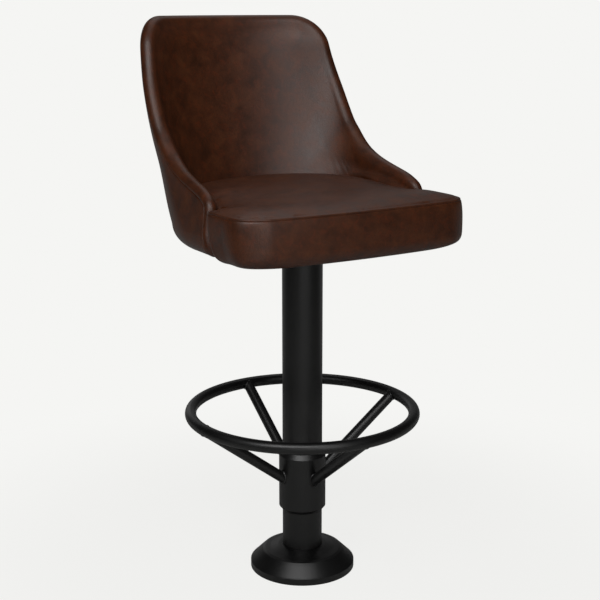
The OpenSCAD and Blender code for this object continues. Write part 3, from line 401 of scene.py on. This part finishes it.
def wallRear(z):
    r = riseOf(z)
    return back["rear"] + back["lean"] * r + back["belly"] * math.sin(math.pi * clamp(r))


def wallArc(z):
    return back["rear"] - back["wrap"] * (1 - back["wrapLoss"] * (1 - (1 - clamp(riseOf(z))) ** 2.6))


def rimY(z):
    return -back["armFront"] + (wallRear(z) + back["armFront"]) * curveAt(back["rim"], riseOf(z))


# turn 0 is the middle of the back, 1 the start of the straight arm, then 1 per armStep forward
def turnOf(z, y):
    if y >= wallArc(z):
        return math.acos(clamp((y - wallArc(z)) / (wallRear(z) - wallArc(z)))) / (math.pi / 2)
    return 1 + (wallArc(z) - y) / back["armStep"]


def wall(z, turn, off):
    a, side = abs(turn), 1 if turn >= 0 else -1
    w, arc, deep = wallHalf(z), wallArc(z), wallRear(z) - wallArc(z)
    t = min(1, a) * math.pi / 2
    out = Vector((side * math.sin(t) / w, math.cos(t) / deep)).normalized()
    x, y = side * w * math.sin(t), arc + deep * math.cos(t) - max(0, a - 1) * back["armStep"]
    return Vector((x + off * out.x, y + off * out.y, z))


stepTables = {}


def wallSteps(z):
    key = round(z, 3)
    if key not in stepTables:
        a, b, n = wallHalf(z), wallRear(z) - wallArc(z), 32
        length, table = 0.0, [(0.0, 0.0)]
        for i in range(n):
            t = math.pi / 2 * (i + 0.5) / n
            length += math.hypot(a * math.cos(t), b * math.sin(t)) * math.pi / 2 / n
            table.append(((i + 1) / n, length))
        table.append((4.0, length + 3 * back["armStep"]))
        stepTables[key] = table
    return stepTables[key]


def lookUp(x, table, a, b):
    for low, high in zip(table, table[1:]):
        if x <= high[a]:
            return low[b] + (high[b] - low[b]) * (x - low[a]) / (high[a] - low[a])
    return table[-1][b]


def wallLength(z, turn):
    return lookUp(turn, wallSteps(z), 0, 1)


def turnAt(z, length):
    return lookUp(length, wallSteps(z), 1, 0)


cornerIn = back["corner"] - back["roll"]
rimTop = back["top"] - back["roll"]
cornerZ = back["top"] - back["corner"]


def rimTurn(z):
    t, c = turnOf(z, rimY(z)), clamp((z - cornerZ) / cornerIn)
    if c <= 0:
        return t
    x = wallHalf(z) * math.sin(math.pi / 2 * min(1, t)) - cornerIn * (1 - math.sqrt(max(0, 1 - c * c)))
    return math.asin(clamp(x / wallHalf(z))) / (math.pi / 2)


def ease(x):
    m = clamp(x)
    return m * m * (3 - 2 * m)


# depth of the padding in front of the wall's middle, rounding off towards the rolled edge
def innerReach(z, turn, level):
    steep = 1 / math.hypot(1, (rimY(z + 2) - rimY(z - 2)) / 4)
    d = (rimLength(z) - wallLength(z, abs(turn))) * steep
    reach, extra = back["edgeReach"], back["edgeLift"]
    e = clamp((min(d, back["topSlope"] * (rimTop - z)) + reach) / (back["padBlend"] + reach))
    full = extra + (back["padding"] - back["roll"] - extra) * (1 - (1 - e) ** 2)
    low = clamp((back["footRollZ"] - z) / (back["footRollZ"] - back["coverFoot"])) * ease(d / back["endBlend"])
    thin = back["armThin"] * ease((back["armThinTop"] - z) / back["armThinOver"]) * (1 - ease(d / back["endBlend"]))
    return level - thin + max(full, (back["padding"] - back["roll"]) * low)


# columns 0 to 32 fan out from the back's foot to the rolled edge, 0 and 32 being the arms' fronts
def rimStation(k):
    if k <= 9:
        return back["armZ"] + (cornerZ - back["armZ"]) * (k / 9) ** 1.5, 1
    if k <= 12:
        return cornerZ + cornerIn * math.sin(math.pi / 2 * (k - 9) / 3), 1
    return rimTop, (16 - k) / 4


def rimLength(z):
    return wallLength(z, rimTurn(z))


footLength = rimLength(back["footRollZ"])


def edgeBend(f):
    z = back["footRollZ"] + (back["armZ"] - back["footRollZ"]) * f
    return rimLength(z) - footLength * (1 - f) - rimLength(back["armZ"]) * f


# height and turn of the wall at column c and share g of the way up from the foot roll
def gridPlace(c, g):
    k, side = min(c, 32 - c), 1 if c <= 16 else -1
    f = g ** 1.35
    rimZ, share = rimStation(k)
    z = back["footRollZ"] + (rimZ - back["footRollZ"]) * f
    bend = edgeBend(f) * max(0, 1 - k / 4) ** 2
    length = (1 - k / 16) * footLength * (1 - f) + wallLength(rimZ, share * rimTurn(rimZ)) * f + bend
    return z, side * turnAt(z, length)


def lowTurn(c, z, end):
    k, side = min(c, 32 - c), 1 if c <= 16 else -1
    return side * turnAt(z, (1 - k / 16) * wallLength(z, end))


# rows 0 to underRows turn under the foot, the rest run up to the rolled edge
def rowShare(j):
    return (j - back["underRows"]) / (back["rows"] - back["underRows"])


# 1 at the arms' fronts and 0 from a few columns on
def nearFront(c):
    return max(0, 1 - min(c, 32 - c) / back["frontFootColumns"]) ** 2


def footRadius(c):
    return back["footRoll"] + (back["frontFootRoll"] - back["footRoll"]) * nearFront(c)


def outerPoint(c, j, lift):
    if j >= back["underRows"]:
        z, turn = gridPlace(c, rowShare(j))
        return wall(z, turn, back["roll"] - back["leather"] + lift)
    radius = footRadius(c)
    straight = 0.6 * (1 - radius / back["footRoll"])
    share = (back["underRows"] - j) / back["underRows"]
    b = math.pi / 2 * max(0, share - straight) / (1 - straight)
    r = radius - back["leather"] + lift
    drop = (back["footRoll"] - radius) - back["frontLift"] * nearFront(c)
    z = back["footRollZ"] - drop * (min(1, share / straight) if straight else 1) - r * math.sin(b)
    turn = lowTurn(c, back["footRollZ"], turnOf(back["footRollZ"], rimY(max(back["foot"], z))))
    p = wall(back["footRollZ"], turn, back["roll"] - radius + r * math.cos(b))
    return Vector((p.x, p.y, z))


def underPoint(c, inwards, lift):
    z = back["footRollZ"]
    low = z - back["footRoll"] + back["leather"] - lift + back["frontLift"] * nearFront(c)
    turn = lowTurn(c, z, turnOf(z, rimY(max(back["foot"], low))))
    reach = footRadius(c) + (inwards + back["footRoll"] - footRadius(c)) * inwards / back["tuckUnder"]
    p = wall(z, turn, back["roll"] - reach)
    return Vector((p.x, p.y, low))


def innerPoint(c, j, lift):
    if j >= back["underRows"]:
        z, turn = gridPlace(c, rowShare(j))
    else:
        z = back["coverFoot"] + (back["footRollZ"] - back["coverFoot"]) * j / back["underRows"]
        turn = lowTurn(c, z, rimTurn(z))
    return wall(z, turn, -innerReach(z, turn, back["roll"] - back["leather"] + lift))


# columns of the fine grid: close together over the arms and wider across the top
def fineColumns():
    half = [k / 4 for k in range(0, 48)] + [12 + k / 6 for k in range(0, 24)]
    return half + [16.0] + [32 - k for k in reversed(half)]


columns = fineColumns()
lastColumn = len(columns) - 1
rows = back["rows"]
stations = ([(0, j) for j in range(rows + 1)] + [(i, rows) for i in range(1, lastColumn + 1)]
            + [(lastColumn, j) for j in range(rows - 1, -1, -1)])


class Rim:
    # centre line, outward direction and both faces of the rolled edge at every station, at one lift
    def __init__(self, lift):
        self.inner = [innerPoint(columns[i], j, lift) for i, j in stations]
        self.outer = [outerPoint(columns[i], j, lift) for i, j in stations]
        self.mid = [(a + b) / 2 for a, b in zip(self.inner, self.outer)]
        self.out = []
        last = len(stations) - 1
        for k in range(last + 1):
            along = (self.mid[min(last, k + 1)] - self.mid[max(0, k - 1)]).normalized()
            across = (self.outer[k] - self.inner[k]).normalized()
            self.out.append(across.cross(along).normalized())
        self.tip = back["roll"] - back["leather"] + lift

    # place on the roll, from the padded face (share 0) round to the seam (share 1)
    def roll(self, k, share):
        across = self.inner[k] - self.outer[k]
        start = math.radians(back["edgeTilt"])
        radius = (across.length - back["rollSetBack"]) / (1 + math.cos(start))
        seam = back["seamFold"] + back["seamGap"] / 2
        end = math.pi - math.asin(clamp((seam + radius - self.tip) / radius))
        angle = start + (end - start) * share
        return (self.outer[k] + across.normalized() * radius * (1 + math.cos(angle))
                + self.out[k] * (self.tip + radius * (math.sin(angle) - 1)))

    # edge of a cover turned into the seam behind the roll, on the roll's side (+1) or the outer cover's (-1)
    def fold(self, k, angle, side, deeper=0.0):
        r, gap = back["seamFold"], back["seamGap"] / 2
        inward = (self.mid[k] - self.outer[k]).normalized()
        return (self.outer[k] + self.out[k] * side * (gap + r * (1 - math.sin(angle)))
                + inward * (r * (1 - math.cos(angle)) + deeper))


def gridPatch(across, up, place):
    bm = bmesh.new()
    bmesh.ops.create_grid(bm, x_segments=across, y_segments=up, size=0.5)
    spots = {}
    for v in bm.verts:
        i, j = round((v.co.x + 0.5) * across), round((v.co.y + 0.5) * up)
        spots[(i, j)] = v
    for (i, j), v in spots.items():
        v.co = place(i, j) * mm
    return bm, spots


# extrudes a row of edges once and moves the new vertices, in the same order, to the given places
def extrudeTo(bm, row, places, closed=False):
    pairs = list(zip(row, row[1:])) + ([(row[-1], row[0])] if closed else [])
    made = bmesh.ops.extrude_edge_only(bm, edges=[bm.edges.get(pair) for pair in pairs])["geom"]
    fresh = {v for v in made if isinstance(v, bmesh.types.BMVert)}
    result = [next(e.other_vert(v) for e in v.link_edges if e.other_vert(v) in fresh) for v in row]
    for v, place in zip(result, places):
        v.co = place * mm
    return result


# whether the face nearest to a point looks away from it
def looksAway(bm, point):
    bmesh.ops.recalc_face_normals(bm, faces=bm.faces)
    near = min(bm.faces, key=lambda f: (f.calc_center_median() - point).length)
    return near.normal.dot(point - near.calc_center_median()) < 0


def makeObject(name, bm, material, towards=None):
    flip = towards is not None and looksAway(bm, towards)
    bmesh.ops.recalc_face_normals(bm, faces=bm.faces)
    if flip:
        bmesh.ops.reverse_faces(bm, faces=bm.faces)
    for face in bm.faces:
        face.smooth = True
    mesh = bpy.data.meshes.new(name)
    bm.to_mesh(mesh)
    bm.free()
    mesh.materials.append(material)
    return addObject(name, mesh)


def addThickness(piece, thick, levels=1):
    solid = piece.modifiers.new("thickness", "SOLIDIFY")
    solid.thickness = thick * mm
    solid.offset = -1
    solid.use_even_offset = False
    if levels:
        smooth = piece.modifiers.new("rounding", "SUBSURF")
        smooth.levels = smooth.render_levels = levels


def makeCover(name, bm, towards):
    piece = makeObject(name, bm, finishes["brown_leather"], Vector(towards))
    addThickness(piece, back["leather"])
    return piece


# back covers, whose edges run round into the seam behind the roll
def turnIn(bm, row, rim, side):
    for angle, deeper in ((30, 0), (60, 0), (90, 0), (90, back["seamDeep"])):
        row = extrudeTo(bm, row, [rim.fold(k, math.radians(angle), side, deeper) for k in range(len(row))])


# the padded face and the rolled edge round it
def paddedFace(lift, steps):
    bm, spots = gridPatch(lastColumn, rows, lambda i, j: innerPoint(columns[i], j, lift))
    rim, row = Rim(lift), [spots[s] for s in stations]
    for s in range(steps + 1):
        row = extrudeTo(bm, row, [rim.roll(k, s / steps) for k in range(len(row))])
    return bm, rim, row


def makeInnerCover():
    bm, rim, row = paddedFace(back["leather"], back["rollSteps"])
    turnIn(bm, row, rim, 1)
    return makeCover("backInnerCover", bm, (0, 0, 0.9))


def makeOuterCover():
    lift = back["leather"]
    rim = Rim(lift)
    spread = {s: k for k, s in enumerate(stations)}

    def place(i, j):
        if (i, j) in spread:
            return rim.fold(spread[(i, j)], 0, -1)
        return outerPoint(columns[i], j, lift)
    bm, spots = gridPatch(lastColumn, rows, place)
    turnIn(bm, [spots[s] for s in stations], rim, -1)
    row = [spots[(i, 0)] for i in range(lastColumn + 1)]
    for s in range(1, 4):
        row = extrudeTo(bm, row, [underPoint(c, back["tuckUnder"] * s / 3, lift) for c in columns])
    return makeCover("backOuterCover", bm, (0, 2.0, 0.9))


innerCover = makeInnerCover()
outerCover = makeOuterCover()
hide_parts("back_inner_cover")
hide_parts("back_outer_cover")
print("back covers made:", len(innerCover.data.polygons), len(outerCover.data.polygons))


# cushion, in millimetres
seat = {
    "halfWidth": 245.0, "front": 194.0, "bow": 17.0, "corner": 62.0, "ear": 16.0, "swell": 4.0, "lowerRoll": 24.0,
    "sidePull": 8.0, "lowPull": 20.0, "lowCorner": 26.0,
    "earHold": 0.9,       # share of the low pull that the ears in front of the arms don't follow
    "seamZ": 726.0, "swellZ": 677.0, "baseZ": 644.0, "boardTopZ": 662.0, "rearRise": 8.0, "gap": 0.7,
    "crown": 12.5, "crownReach": 60.0,   # height of the top's rounding, and how far in from the seam it ends
    "turnUnder": 40.0,
    "fold": 2.0,          # radius of each panel's edge at the sewn seam
    "seamGap": 0.2, "seamDeep": 3.0,     # space between the panels there, and how far they run on inside
    "foldCentre": 3.0,    # the top panel's edge folds towards a point this far in front of the notches
    "bandRows": 8,
    # fine steps between the outline's own points: front, corner, side, ear, notch and along the back
    "steps": [12] * 3 + [3] * 6 + [10] + [4] * 3 + [2, 3] + [5] * 10,
    "insets": [2.5, 4.0, 5.0], "cell": 6.0,     # rings inside the top panel's edge and the grid within them
    "softSteps": 10,      # rounds of softening from the rings to the grid
    # cloth simulation of the top panel: pressure of the foam behind it, the most it rises, and the leather
    "fillPressure": 4.0, "crownRise": 4.0, "frames": 20, "evenSteps": 40,
    "quality": 6, "mass": 0.6, "stretch": 25.0, "bend": 8.0,
}
earEnd, planEnd = 13, 25  # the outline's points at the ear's end and in the middle of the rear


def notchY(z):
    return rimY(z) - back["roll"] - seat["gap"]


def sideOff(z):
    return seat["swell"] * (1 - ((z - seat["swellZ"]) / (seat["seamZ"] - seat["swellZ"])) ** 3)


def rearOff(z, off):
    return off - sideOff(max(z, seat["swellZ"]))


# how far the sides pull in towards the arms, more so lower down
def pull(k, z):
    low = clamp((seat["seamZ"] - z) / (seat["seamZ"] - seat["boardTopZ"]))
    hold = 1 - seat["earHold"] * ease((k - 7) / 5.5)
    return ease((k - 5.5) / 4) * (seat["sidePull"] + (seat["lowPull"] - seat["sidePull"]) * low ** 1.5 * hold)


def notchX(z, off):
    return min(seat["halfWidth"] + off - pull(9.5, z) - 2,
               max(wallHalf(z) - innerReach(z, rimTurn(z), back["roll"]) - seat["gap"] + rearOff(z, off),
                   wallHalf(z) - back["padding"] - seat["gap"]))


def frontPoint(k, z, off):
    w, f, ny = seat["halfWidth"] + off, seat["front"] + off, notchY(z) + rearOff(z, off)
    more = seat["lowCorner"] * clamp((-off - 2) / 12)
    r0, e0 = max(4, seat["corner"] + off + more / 2), max(4, seat["ear"] + off / 2)
    fit = min(1, (f + ny - 2) / (r0 + e0))
    r, er = r0 * fit, e0 * fit
    ex, rx = min(er, w - pull(k, z) - notchX(z, off) - 1), r + more
    if k <= 3:
        x, y = (w - rx) * k / 3, -f
    elif k <= 9:
        a = math.radians(15 * (k - 3))
        x, y = w - rx + rx * math.sin(a), -f + r - r * math.cos(a)
    else:
        a = math.radians(30 * (k - 10))
        x, y = w - ex + ex * math.cos(a), ny - er + er * math.sin(a)
    if k <= 9:
        y -= seat["bow"] * (1 - min(1, x / seat["halfWidth"]) ** 2)
    return Vector((x - pull(k, z), y))


def rearPoint(k, z, off):
    turn = rimTurn(z) * (1 - (k - earEnd - 2) / (planEnd - earEnd - 2))
    p = wall(z, turn, -(innerReach(z, turn, back["roll"]) + seat["gap"] - off))
    return Vector((p.x, p.y))


def planPoint(k, z, off, rear):
    def corner(n):
        if n <= earEnd:
            return frontPoint(n, z, off)
        if n == earEnd + 1:
            return Vector((notchX(z, off), notchY(z) + rearOff(z, off)))
        return rearPoint(n, z, rear)
    low = math.floor(k)
    if low == k:
        return corner(low)
    if low in (9, 13, 14):                  # straight stretches between the curves
        return corner(low).lerp(corner(low + 1), k - low)
    return frontPoint(k, z, off) if k < earEnd else rearPoint(k, z, rear)


fineShares = [0.0]
for number, count in enumerate(seat["steps"]):
    fineShares += [number + (s + 1) / count for s in range(count)]
halfCount = len(fineShares) - 1
notchCount = sum(seat["steps"][:earEnd + 1])


# half outline from the middle of the front to the middle of the rear, at a front and a rear level
def planHalf(zFront, zRear, off, rear):
    result = []
    for k in fineShares:
        z = zFront + (zRear - zFront) * ease((k - earEnd - 1) / 5)
        p = planPoint(k, z, off, rear)
        result.append(Vector((p.x, p.y, z)))
    return result


def mirrored(p):
    return Vector((-p.x, p.y, p.z))


def planLoop(zFront, zRear, off, rear):
    half = planHalf(zFront, zRear, off, rear)
    return half + [mirrored(p) for p in reversed(half[1:-1])]


# distance of a place from the outline
def inFrom(x, y, edge):
    least = 1e9
    for a, b in zip(edge, edge[1:] + edge[:1]):
        dx, dy = b.x - a.x, b.y - a.y
        t = min(1, max(0, ((x - a.x) * dx + (y - a.y) * dy) / max(dx * dx + dy * dy, 1e-9)))
        least = min(least, (a.x + t * dx - x) ** 2 + (a.y + t * dy - y) ** 2)
    return math.sqrt(least)


# height of the crown: the seam's level, which rises towards the rear, and a rounding over the edge's reach
def crownHeight(x, y, edge):
    rear = edge[notchCount:halfCount + 1]
    level = edge[notchCount].z if y <= rear[0].y else lookUp(y, [(p.y, p.z) for p in rear], 0, 1)
    e = clamp(inFrom(x, y, edge) / seat["crownReach"])
    return level + seat["crown"] * (1 - (1 - e) ** 2)


# cloth simulation of a panel with its sewn vertices held and the foam's pressure behind it
def fillOut(piece, sewn):
    group = piece.vertex_groups.new(name="sewnEdge")
    group.add(sewn, 1.0, "REPLACE")
    cloth = piece.modifiers.new("fillOut", "CLOTH")
    settings = cloth.settings
    settings.quality = seat["quality"]
    settings.mass = seat["mass"]
    settings.tension_stiffness = settings.compression_stiffness = settings.shear_stiffness = seat["stretch"]
    settings.bending_stiffness = seat["bend"]
    settings.vertex_group_mass = "sewnEdge"
    settings.use_pressure = True
    settings.uniform_pressure_force = seat["fillPressure"]
    settings.effector_weights.gravity = 0
    cloth.point_cache.frame_start, cloth.point_cache.frame_end = 1, seat["frames"]
    for frameNumber in range(1, seat["frames"] + 1):
        scene.frame_set(frameNumber)
    moved = piece.evaluated_get(bpy.context.evaluated_depsgraph_get()).to_mesh()
    # only the outward part counts, capped and evened out over the neighbours so that no wrinkle stays
    most = seat["crownRise"] * mm
    outward = [min(most, max(0.0, (w.co - v.co).dot(v.normal))) for v, w in zip(piece.data.vertices, moved.vertices)]
    beside = [[] for v in outward]
    for edge in piece.data.edges:
        a, b = edge.vertices
        beside[a].append(b)
        beside[b].append(a)
    fixed = set(sewn)
    for step in range(seat["evenSteps"]):
        outward = [0.0 if n in fixed else (outward[n] + sum(outward[k] for k in beside[n]) / len(beside[n])) / 2
                   for n in range(len(outward))]
    normals = [v.normal.copy() for v in piece.data.vertices]
    for v, normal, step in zip(piece.data.vertices, normals, outward):
        v.co += normal * step
    piece.evaluated_get(bpy.context.evaluated_depsgraph_get()).to_mesh_clear()
    piece.modifiers.remove(cloth)
    piece.vertex_groups.remove(group)
    scene.frame_set(1)
    print(piece.name, "filled out by up to", round(max(outward) / mm, 2), "mm")


# one flat face inside an outline
def outlineFace(edge, level):
    bm = bmesh.new()
    bmesh.ops.create_circle(bm, segments=len(edge), radius=1)
    row = sorted(bm.verts, key=lambda v: math.atan2(v.co.x, -v.co.y) % (2 * math.pi))
    for v, p in zip(row, edge):
        v.co = Vector((p.x, p.y, level)) * mm
    return bm, row, bm.faces.new(row)


# cuts the faces between the given vertices into a plain grid; a vertex close to a cut counts as on it
def cutGrid(bm, inner, cell, close):
    xs, ys = [v.co.x for v in inner], [v.co.y for v in inner]
    for axis, lowest, highest in ((0, min(xs), max(xs)), (1, min(ys), max(ys))):
        count = round((highest - lowest) / mm / cell)
        for n in range(1, count):
            at, way = Vector((0, 0, 0)), Vector((0, 0, 0))
            at[axis], way[axis] = lowest + (highest - lowest) * n / count, 1
            faces = [f for f in bm.faces if all(v in inner for v in f.verts)]
            edges, corners = [e for f in faces for e in f.edges], [v for f in faces for v in f.verts]
            geometry = list(dict.fromkeys(corners + edges + faces))
            cut = bmesh.ops.bisect_plane(bm, geom=geometry, plane_co=at, plane_no=way, dist=close)["geom_cut"]
            inner |= {v for v in cut if isinstance(v, bmesh.types.BMVert)}


# steps inwards and away from the seam of a panel's edge that turns into it
def seamSteps():
    r, half = seat["fold"], seat["seamGap"] / 2
    turns = [math.radians(angle) for angle in (30, 60, 90)]
    return [(r * (1 - math.cos(a)), r * (1 - math.sin(a)) + half) for a in turns] + [(r + seat["seamDeep"], half)]


def makeTopPanel():
    edge = planLoop(seat["seamZ"], seat["seamZ"] + seat["rearRise"], 0, 0)
    bm, rim, middle = outlineFace(edge, 0)
    rings = [rim]
    for width in seat["insets"]:
        bmesh.ops.inset_region(bm, faces=[middle], thickness=width * mm, use_even_offset=True, use_boundary=True)
        rings.append(list(middle.verts))
    cutGrid(bm, set(middle.verts), seat["cell"], 0.0005)
    for v in bm.verts:
        v.co.z = (crownHeight(v.co.x / mm, v.co.y / mm, edge) + seat["fold"]) * mm
    held = set(rings[0] + rings[1])
    moving = [v for v in bm.verts if v not in held]
    for step in range(seat["softSteps"]):
        bmesh.ops.smooth_vert(bm, verts=moving, factor=0.5, use_axis_z=True)
    for v, p in zip(rim, edge):
        v.co = (p + Vector((0, 0, seat["fold"]))) * mm
    # the edge turns down into the seam and is cut off inside it
    centreY = notchY(seat["seamZ"]) - seat["foldCentre"]
    row, ways = rim, [Vector((-p.x, centreY - p.y, 0)).normalized() for p in edge]
    for inwards, up in seamSteps():
        places = [p + way * inwards + Vector((0, 0, up)) for p, way in zip(edge, ways)]
        row = extrudeTo(bm, row, places, closed=True)
    bm.verts.index_update()
    moving = set(moving)
    sewn = [v.index for v in bm.verts if v not in moving]
    piece = makeObject("seatTopPanel", bm, finishes["brown_leather"], Vector((0, -0.05, 2.0)))
    fillOut(piece, sewn)
    addThickness(piece, back["leather"], 0)
    return piece


# offsets and levels of the boxing from its turned-in top edge down to the edge under the board
def boxingProfile():
    seam, count = seat["seamZ"], seat["bandRows"]
    result = [(-inwards, seam - down) for inwards, down in reversed(seamSteps())]
    top = seam - seat["fold"] - seat["seamGap"] / 2
    for n in range(count + 1):
        z = top - (top - seat["swellZ"]) * n / count
        result.append((sideOff(z), z))
    r, inset, centre = seat["lowerRoll"], seat["lowerRoll"] - seat["swell"], seat["baseZ"] + seat["lowerRoll"]
    for angle in (5, 15, 26, 38, 50, 62, 74, 82, 90):
        a = math.radians(angle)
        result.append((-inset + r * math.cos(a), centre - r * math.sin(a)))
    return result + [(-inset - 8, seat["baseZ"]), (-seat["turnUnder"], seat["baseZ"])]


def makeBoxing():
    profile = boxingProfile()
    paths = []
    for off, z in profile:
        level = max(z, seat["boardTopZ"])
        half = planHalf(level, level, off, off)[:notchCount + 1]
        paths.append([Vector((p.x, p.y, z)) for p in [mirrored(p) for p in reversed(half[1:])] + half])
    bm = gridPatch(2 * notchCount, len(profile) - 1, lambda i, j: paths[j][i])[0]
    return makeCover("seatBoxing", bm, (0, -2.0, 0.7))


topPanel = makeTopPanel()
boxing = makeBoxing()
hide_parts("seat_top_panel")
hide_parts("seat_boxing")
print("cushion covers made:", len(topPanel.data.polygons), len(boxing.data.polygons))


# foam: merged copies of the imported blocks, rounded as cut foam is, and the back's pad
foam = {
    "cutPads": {"seatPad": ("seat_foam", 4.0, 0.75), "edgePad": ("edge_foam", 2.5, 0.6)},    # node, voxel in mm, fill
    "softening": 3,       # rounds of smoothing of their corners
    "clearance": 1.6,     # they stay this far inside the covers, in mm
    "backLift": -0.25, "backRollSteps": 8,
}


def makePad(name, node, voxel, fill):
    bm = bmesh.new()
    bm.from_mesh(frame["nodes"][node].data)
    bmesh.ops.remove_doubles(bm, verts=bm.verts, dist=0.00001)
    piece = makeObject(name, bm, finishes["seat_foam"])
    remesh = piece.modifiers.new("skin", "REMESH")
    remesh.mode = "VOXEL"
    remesh.voxel_size = voxel * mm
    remesh.use_smooth_shade = True
    smooth = piece.modifiers.new("softening", "SMOOTH")
    smooth.factor = 0.5
    smooth.iterations = foam["softening"]
    inward = piece.modifiers.new("clearOfTheCover", "DISPLACE")
    inward.strength, inward.mid_level = -foam["clearance"] * mm, 0
    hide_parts(node)
    return piece


# the back's pad fills its covers: the padded face, round the edge and over the rear of the moulded board
def makeBackPad():
    bm, rim, row = paddedFace(foam["backLift"], foam["backRollSteps"])
    extrudeTo(bm, row, rim.outer)
    rear = gridPatch(lastColumn, rows, lambda i, j: outerPoint(columns[i], j, foam["backLift"]))[0]
    mesh = bpy.data.meshes.new("padRear")
    rear.to_mesh(mesh)
    rear.free()
    bm.from_mesh(mesh)
    bpy.data.meshes.remove(mesh)
    bmesh.ops.remove_doubles(bm, verts=bm.verts, dist=0.00005)
    bmesh.ops.holes_fill(bm, edges=[e for e in bm.edges if e.is_boundary], sides=0)
    piece = makeObject("backPad", bm, finishes["seat_foam"])
    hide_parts("back_foam")
    return piece


pads = [makePad(name, *row) for name, row in foam["cutPads"].items()] + [makeBackPad()]
print("foam pads made")


# dust cloth under the seat, in millimetres
dustCloth = {
    "frontInset": -30.0, "rearInset": -6.0, "thick": 0.6,
    "cell": 9.0,
    "hem": 11.0, "hemStep": 0.4, "hemEnd": 1.5,     # the edge is folded under, so it stands a little proud
    "plateHalf": 100.0,              # the seat plate holds the cloth up this far out
    "sag": 1.5, "sagPlate": 35.0, "sagEdge": 30.0,  # reached this far from the plate and the tacks
    "tackSpacing": 42.0, "pucker": 0.5, "puckerReach": 34.0,
}


def makeDustCover():
    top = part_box("dust_cover")[1][2] / mm
    edge = planLoop(seat["boardTopZ"], seat["boardTopZ"], dustCloth["frontInset"], dustCloth["rearInset"])[::3]
    bm, row, face = outlineFace(edge, top)
    cutGrid(bm, set(row), dustCloth["cell"], 0.0002)
    area = sum(f.calc_area() for f in bm.faces)
    steps = [0.0]
    for a, b in zip(edge, edge[1:]):
        steps.append(steps[-1] + (b - a).length)
    for v in bm.verts:
        p = v.co / mm
        n = min(range(len(edge)), key=lambda i: (edge[i].x - p.x) ** 2 + (edge[i].y - p.y) ** 2)
        inside = math.hypot(edge[n].x - p.x, edge[n].y - p.y)
        past = max(abs(p.x), abs(p.y)) - dustCloth["plateHalf"]
        hang = dustCloth["sag"] * clamp(past / dustCloth["sagPlate"]) * clamp((inside - 2) / dustCloth["sagEdge"])
        wave = math.cos(2 * math.pi * steps[n] / dustCloth["tackSpacing"]) * dustCloth["pucker"]
        wave *= clamp(inside / 6) * clamp(1 - inside / dustCloth["puckerReach"]) * clamp(past / 10)
        hem = dustCloth["hemStep"] * clamp((dustCloth["hem"] - inside) / dustCloth["hemEnd"])
        v.co.z = (top - hang - wave - hem - dustCloth["pucker"]) * mm
    piece = makeObject("dustCover", bm, finishes["black_cloth"], Vector((0, 0, -2.0)))
    addThickness(piece, dustCloth["thick"], 0)
    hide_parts("dust_cover")
    return piece


dustCover = makeDustCover()
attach(dustCover, "seat")
print("dust cloth made:", len(dustCover.data.polygons))


# welds of the foot ring's struts, in millimetres
weld = {
    "radius": 2.6, "stations": 60, "sides": 8,
    "sunk": 0.15, "flat": 0.8,       # share of its radius that the bead is let in, and how flat it lies
    "ripples": 26, "ripple": 0.07,   # the scales that a welder's steps leave
    "struts": 4, "strutRadius": 10.0, "drop": 127.0,
    "ringZ": 315.0, "ringRadius": 213.0, "ringTube": 10.8, "collarRadius": 44.9,
}


# points of the joint line between a strut and the collar or the ring, with the two outward directions
def weldLine(atRing):
    run = weld["ringRadius"] - weld["collarRadius"]
    length = math.hypot(run, weld["drop"])
    along = Vector((run, 0, weld["drop"])) / length
    up, side = Vector((-along.z, 0, along.x)), Vector((0, 1, 0))
    start = Vector((weld["collarRadius"], 0, weld["ringZ"] - weld["drop"]))

    def gap(p):
        if not atRing:
            return math.hypot(p.x, p.y) - weld["collarRadius"]
        return weld["ringTube"] - math.hypot(math.hypot(p.x, p.y) - weld["ringRadius"], p.z - weld["ringZ"])
    result = []
    for n in range(weld["stations"]):
        a = 2 * math.pi * n / weld["stations"]
        out = up * math.cos(a) + side * math.sin(a)
        low, high = (length - 30, length) if atRing else (-15, 15)
        for step in range(30):
            t = (low + high) / 2
            if gap(start + along * t + out * weld["strutRadius"]) > 0:
                high = t
            else:
                low = t
        p = start + along * low + out * weld["strutRadius"]
        if atRing:
            ringSpot = Vector((p.x, p.y, 0)).normalized() * weld["ringRadius"] + Vector((0, 0, weld["ringZ"]))
            other = (p - ringSpot).normalized()
        else:
            other = Vector((p.x, p.y, 0)).normalized()
        result.append((p, out, other))
    return result


def addBead(bm, line, turn):
    count, sides = weld["stations"], weld["sides"]
    spots = []
    for n, (p, out, other) in enumerate(line):
        along = (line[(n + 1) % count][0] - line[n - 1][0]).normalized()
        high = (out + other).normalized()
        wide = along.cross(high).normalized()
        r = weld["radius"] * (1 + weld["ripple"] * math.cos(weld["ripples"] * 2 * math.pi * n / count))
        centre = p - high * r * weld["sunk"]
        spots.append([centre + (high * math.cos(a) * weld["flat"] + wide * math.sin(a)) * r
                      for a in (2 * math.pi * k / sides for k in range(sides))])
    spin = Matrix.Rotation(turn, 3, "Z")
    first = row = bmesh.ops.create_circle(bm, segments=sides, radius=1)["verts"]
    for v, p in zip(first, spots[0]):
        v.co = spin @ p * mm
    for ring in spots[1:]:
        row = extrudeTo(bm, row, [spin @ p for p in ring], closed=True)
    ends = [bm.edges.get((loop[k], loop[(k + 1) % sides])) for loop in (first, row) for k in range(sides)]
    bmesh.ops.bridge_loops(bm, edges=ends)


def makeWelds():
    bm = bmesh.new()
    for atRing in (False, True):
        line = weldLine(atRing)
        for n in range(weld["struts"]):
            addBead(bm, line, 2 * math.pi * n / weld["struts"])
    piece = makeObject("strutWelds", bm, finishes["black_powder_coat"])
    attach(piece, "base")
    return piece


strutWelds = makeWelds()
print("welds made:", len(strutWelds.data.polygons))


for piece in [innerCover, outerCover, topPanel, boxing] + pads:
    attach(piece, "seat")


# the end
print("sizes written")
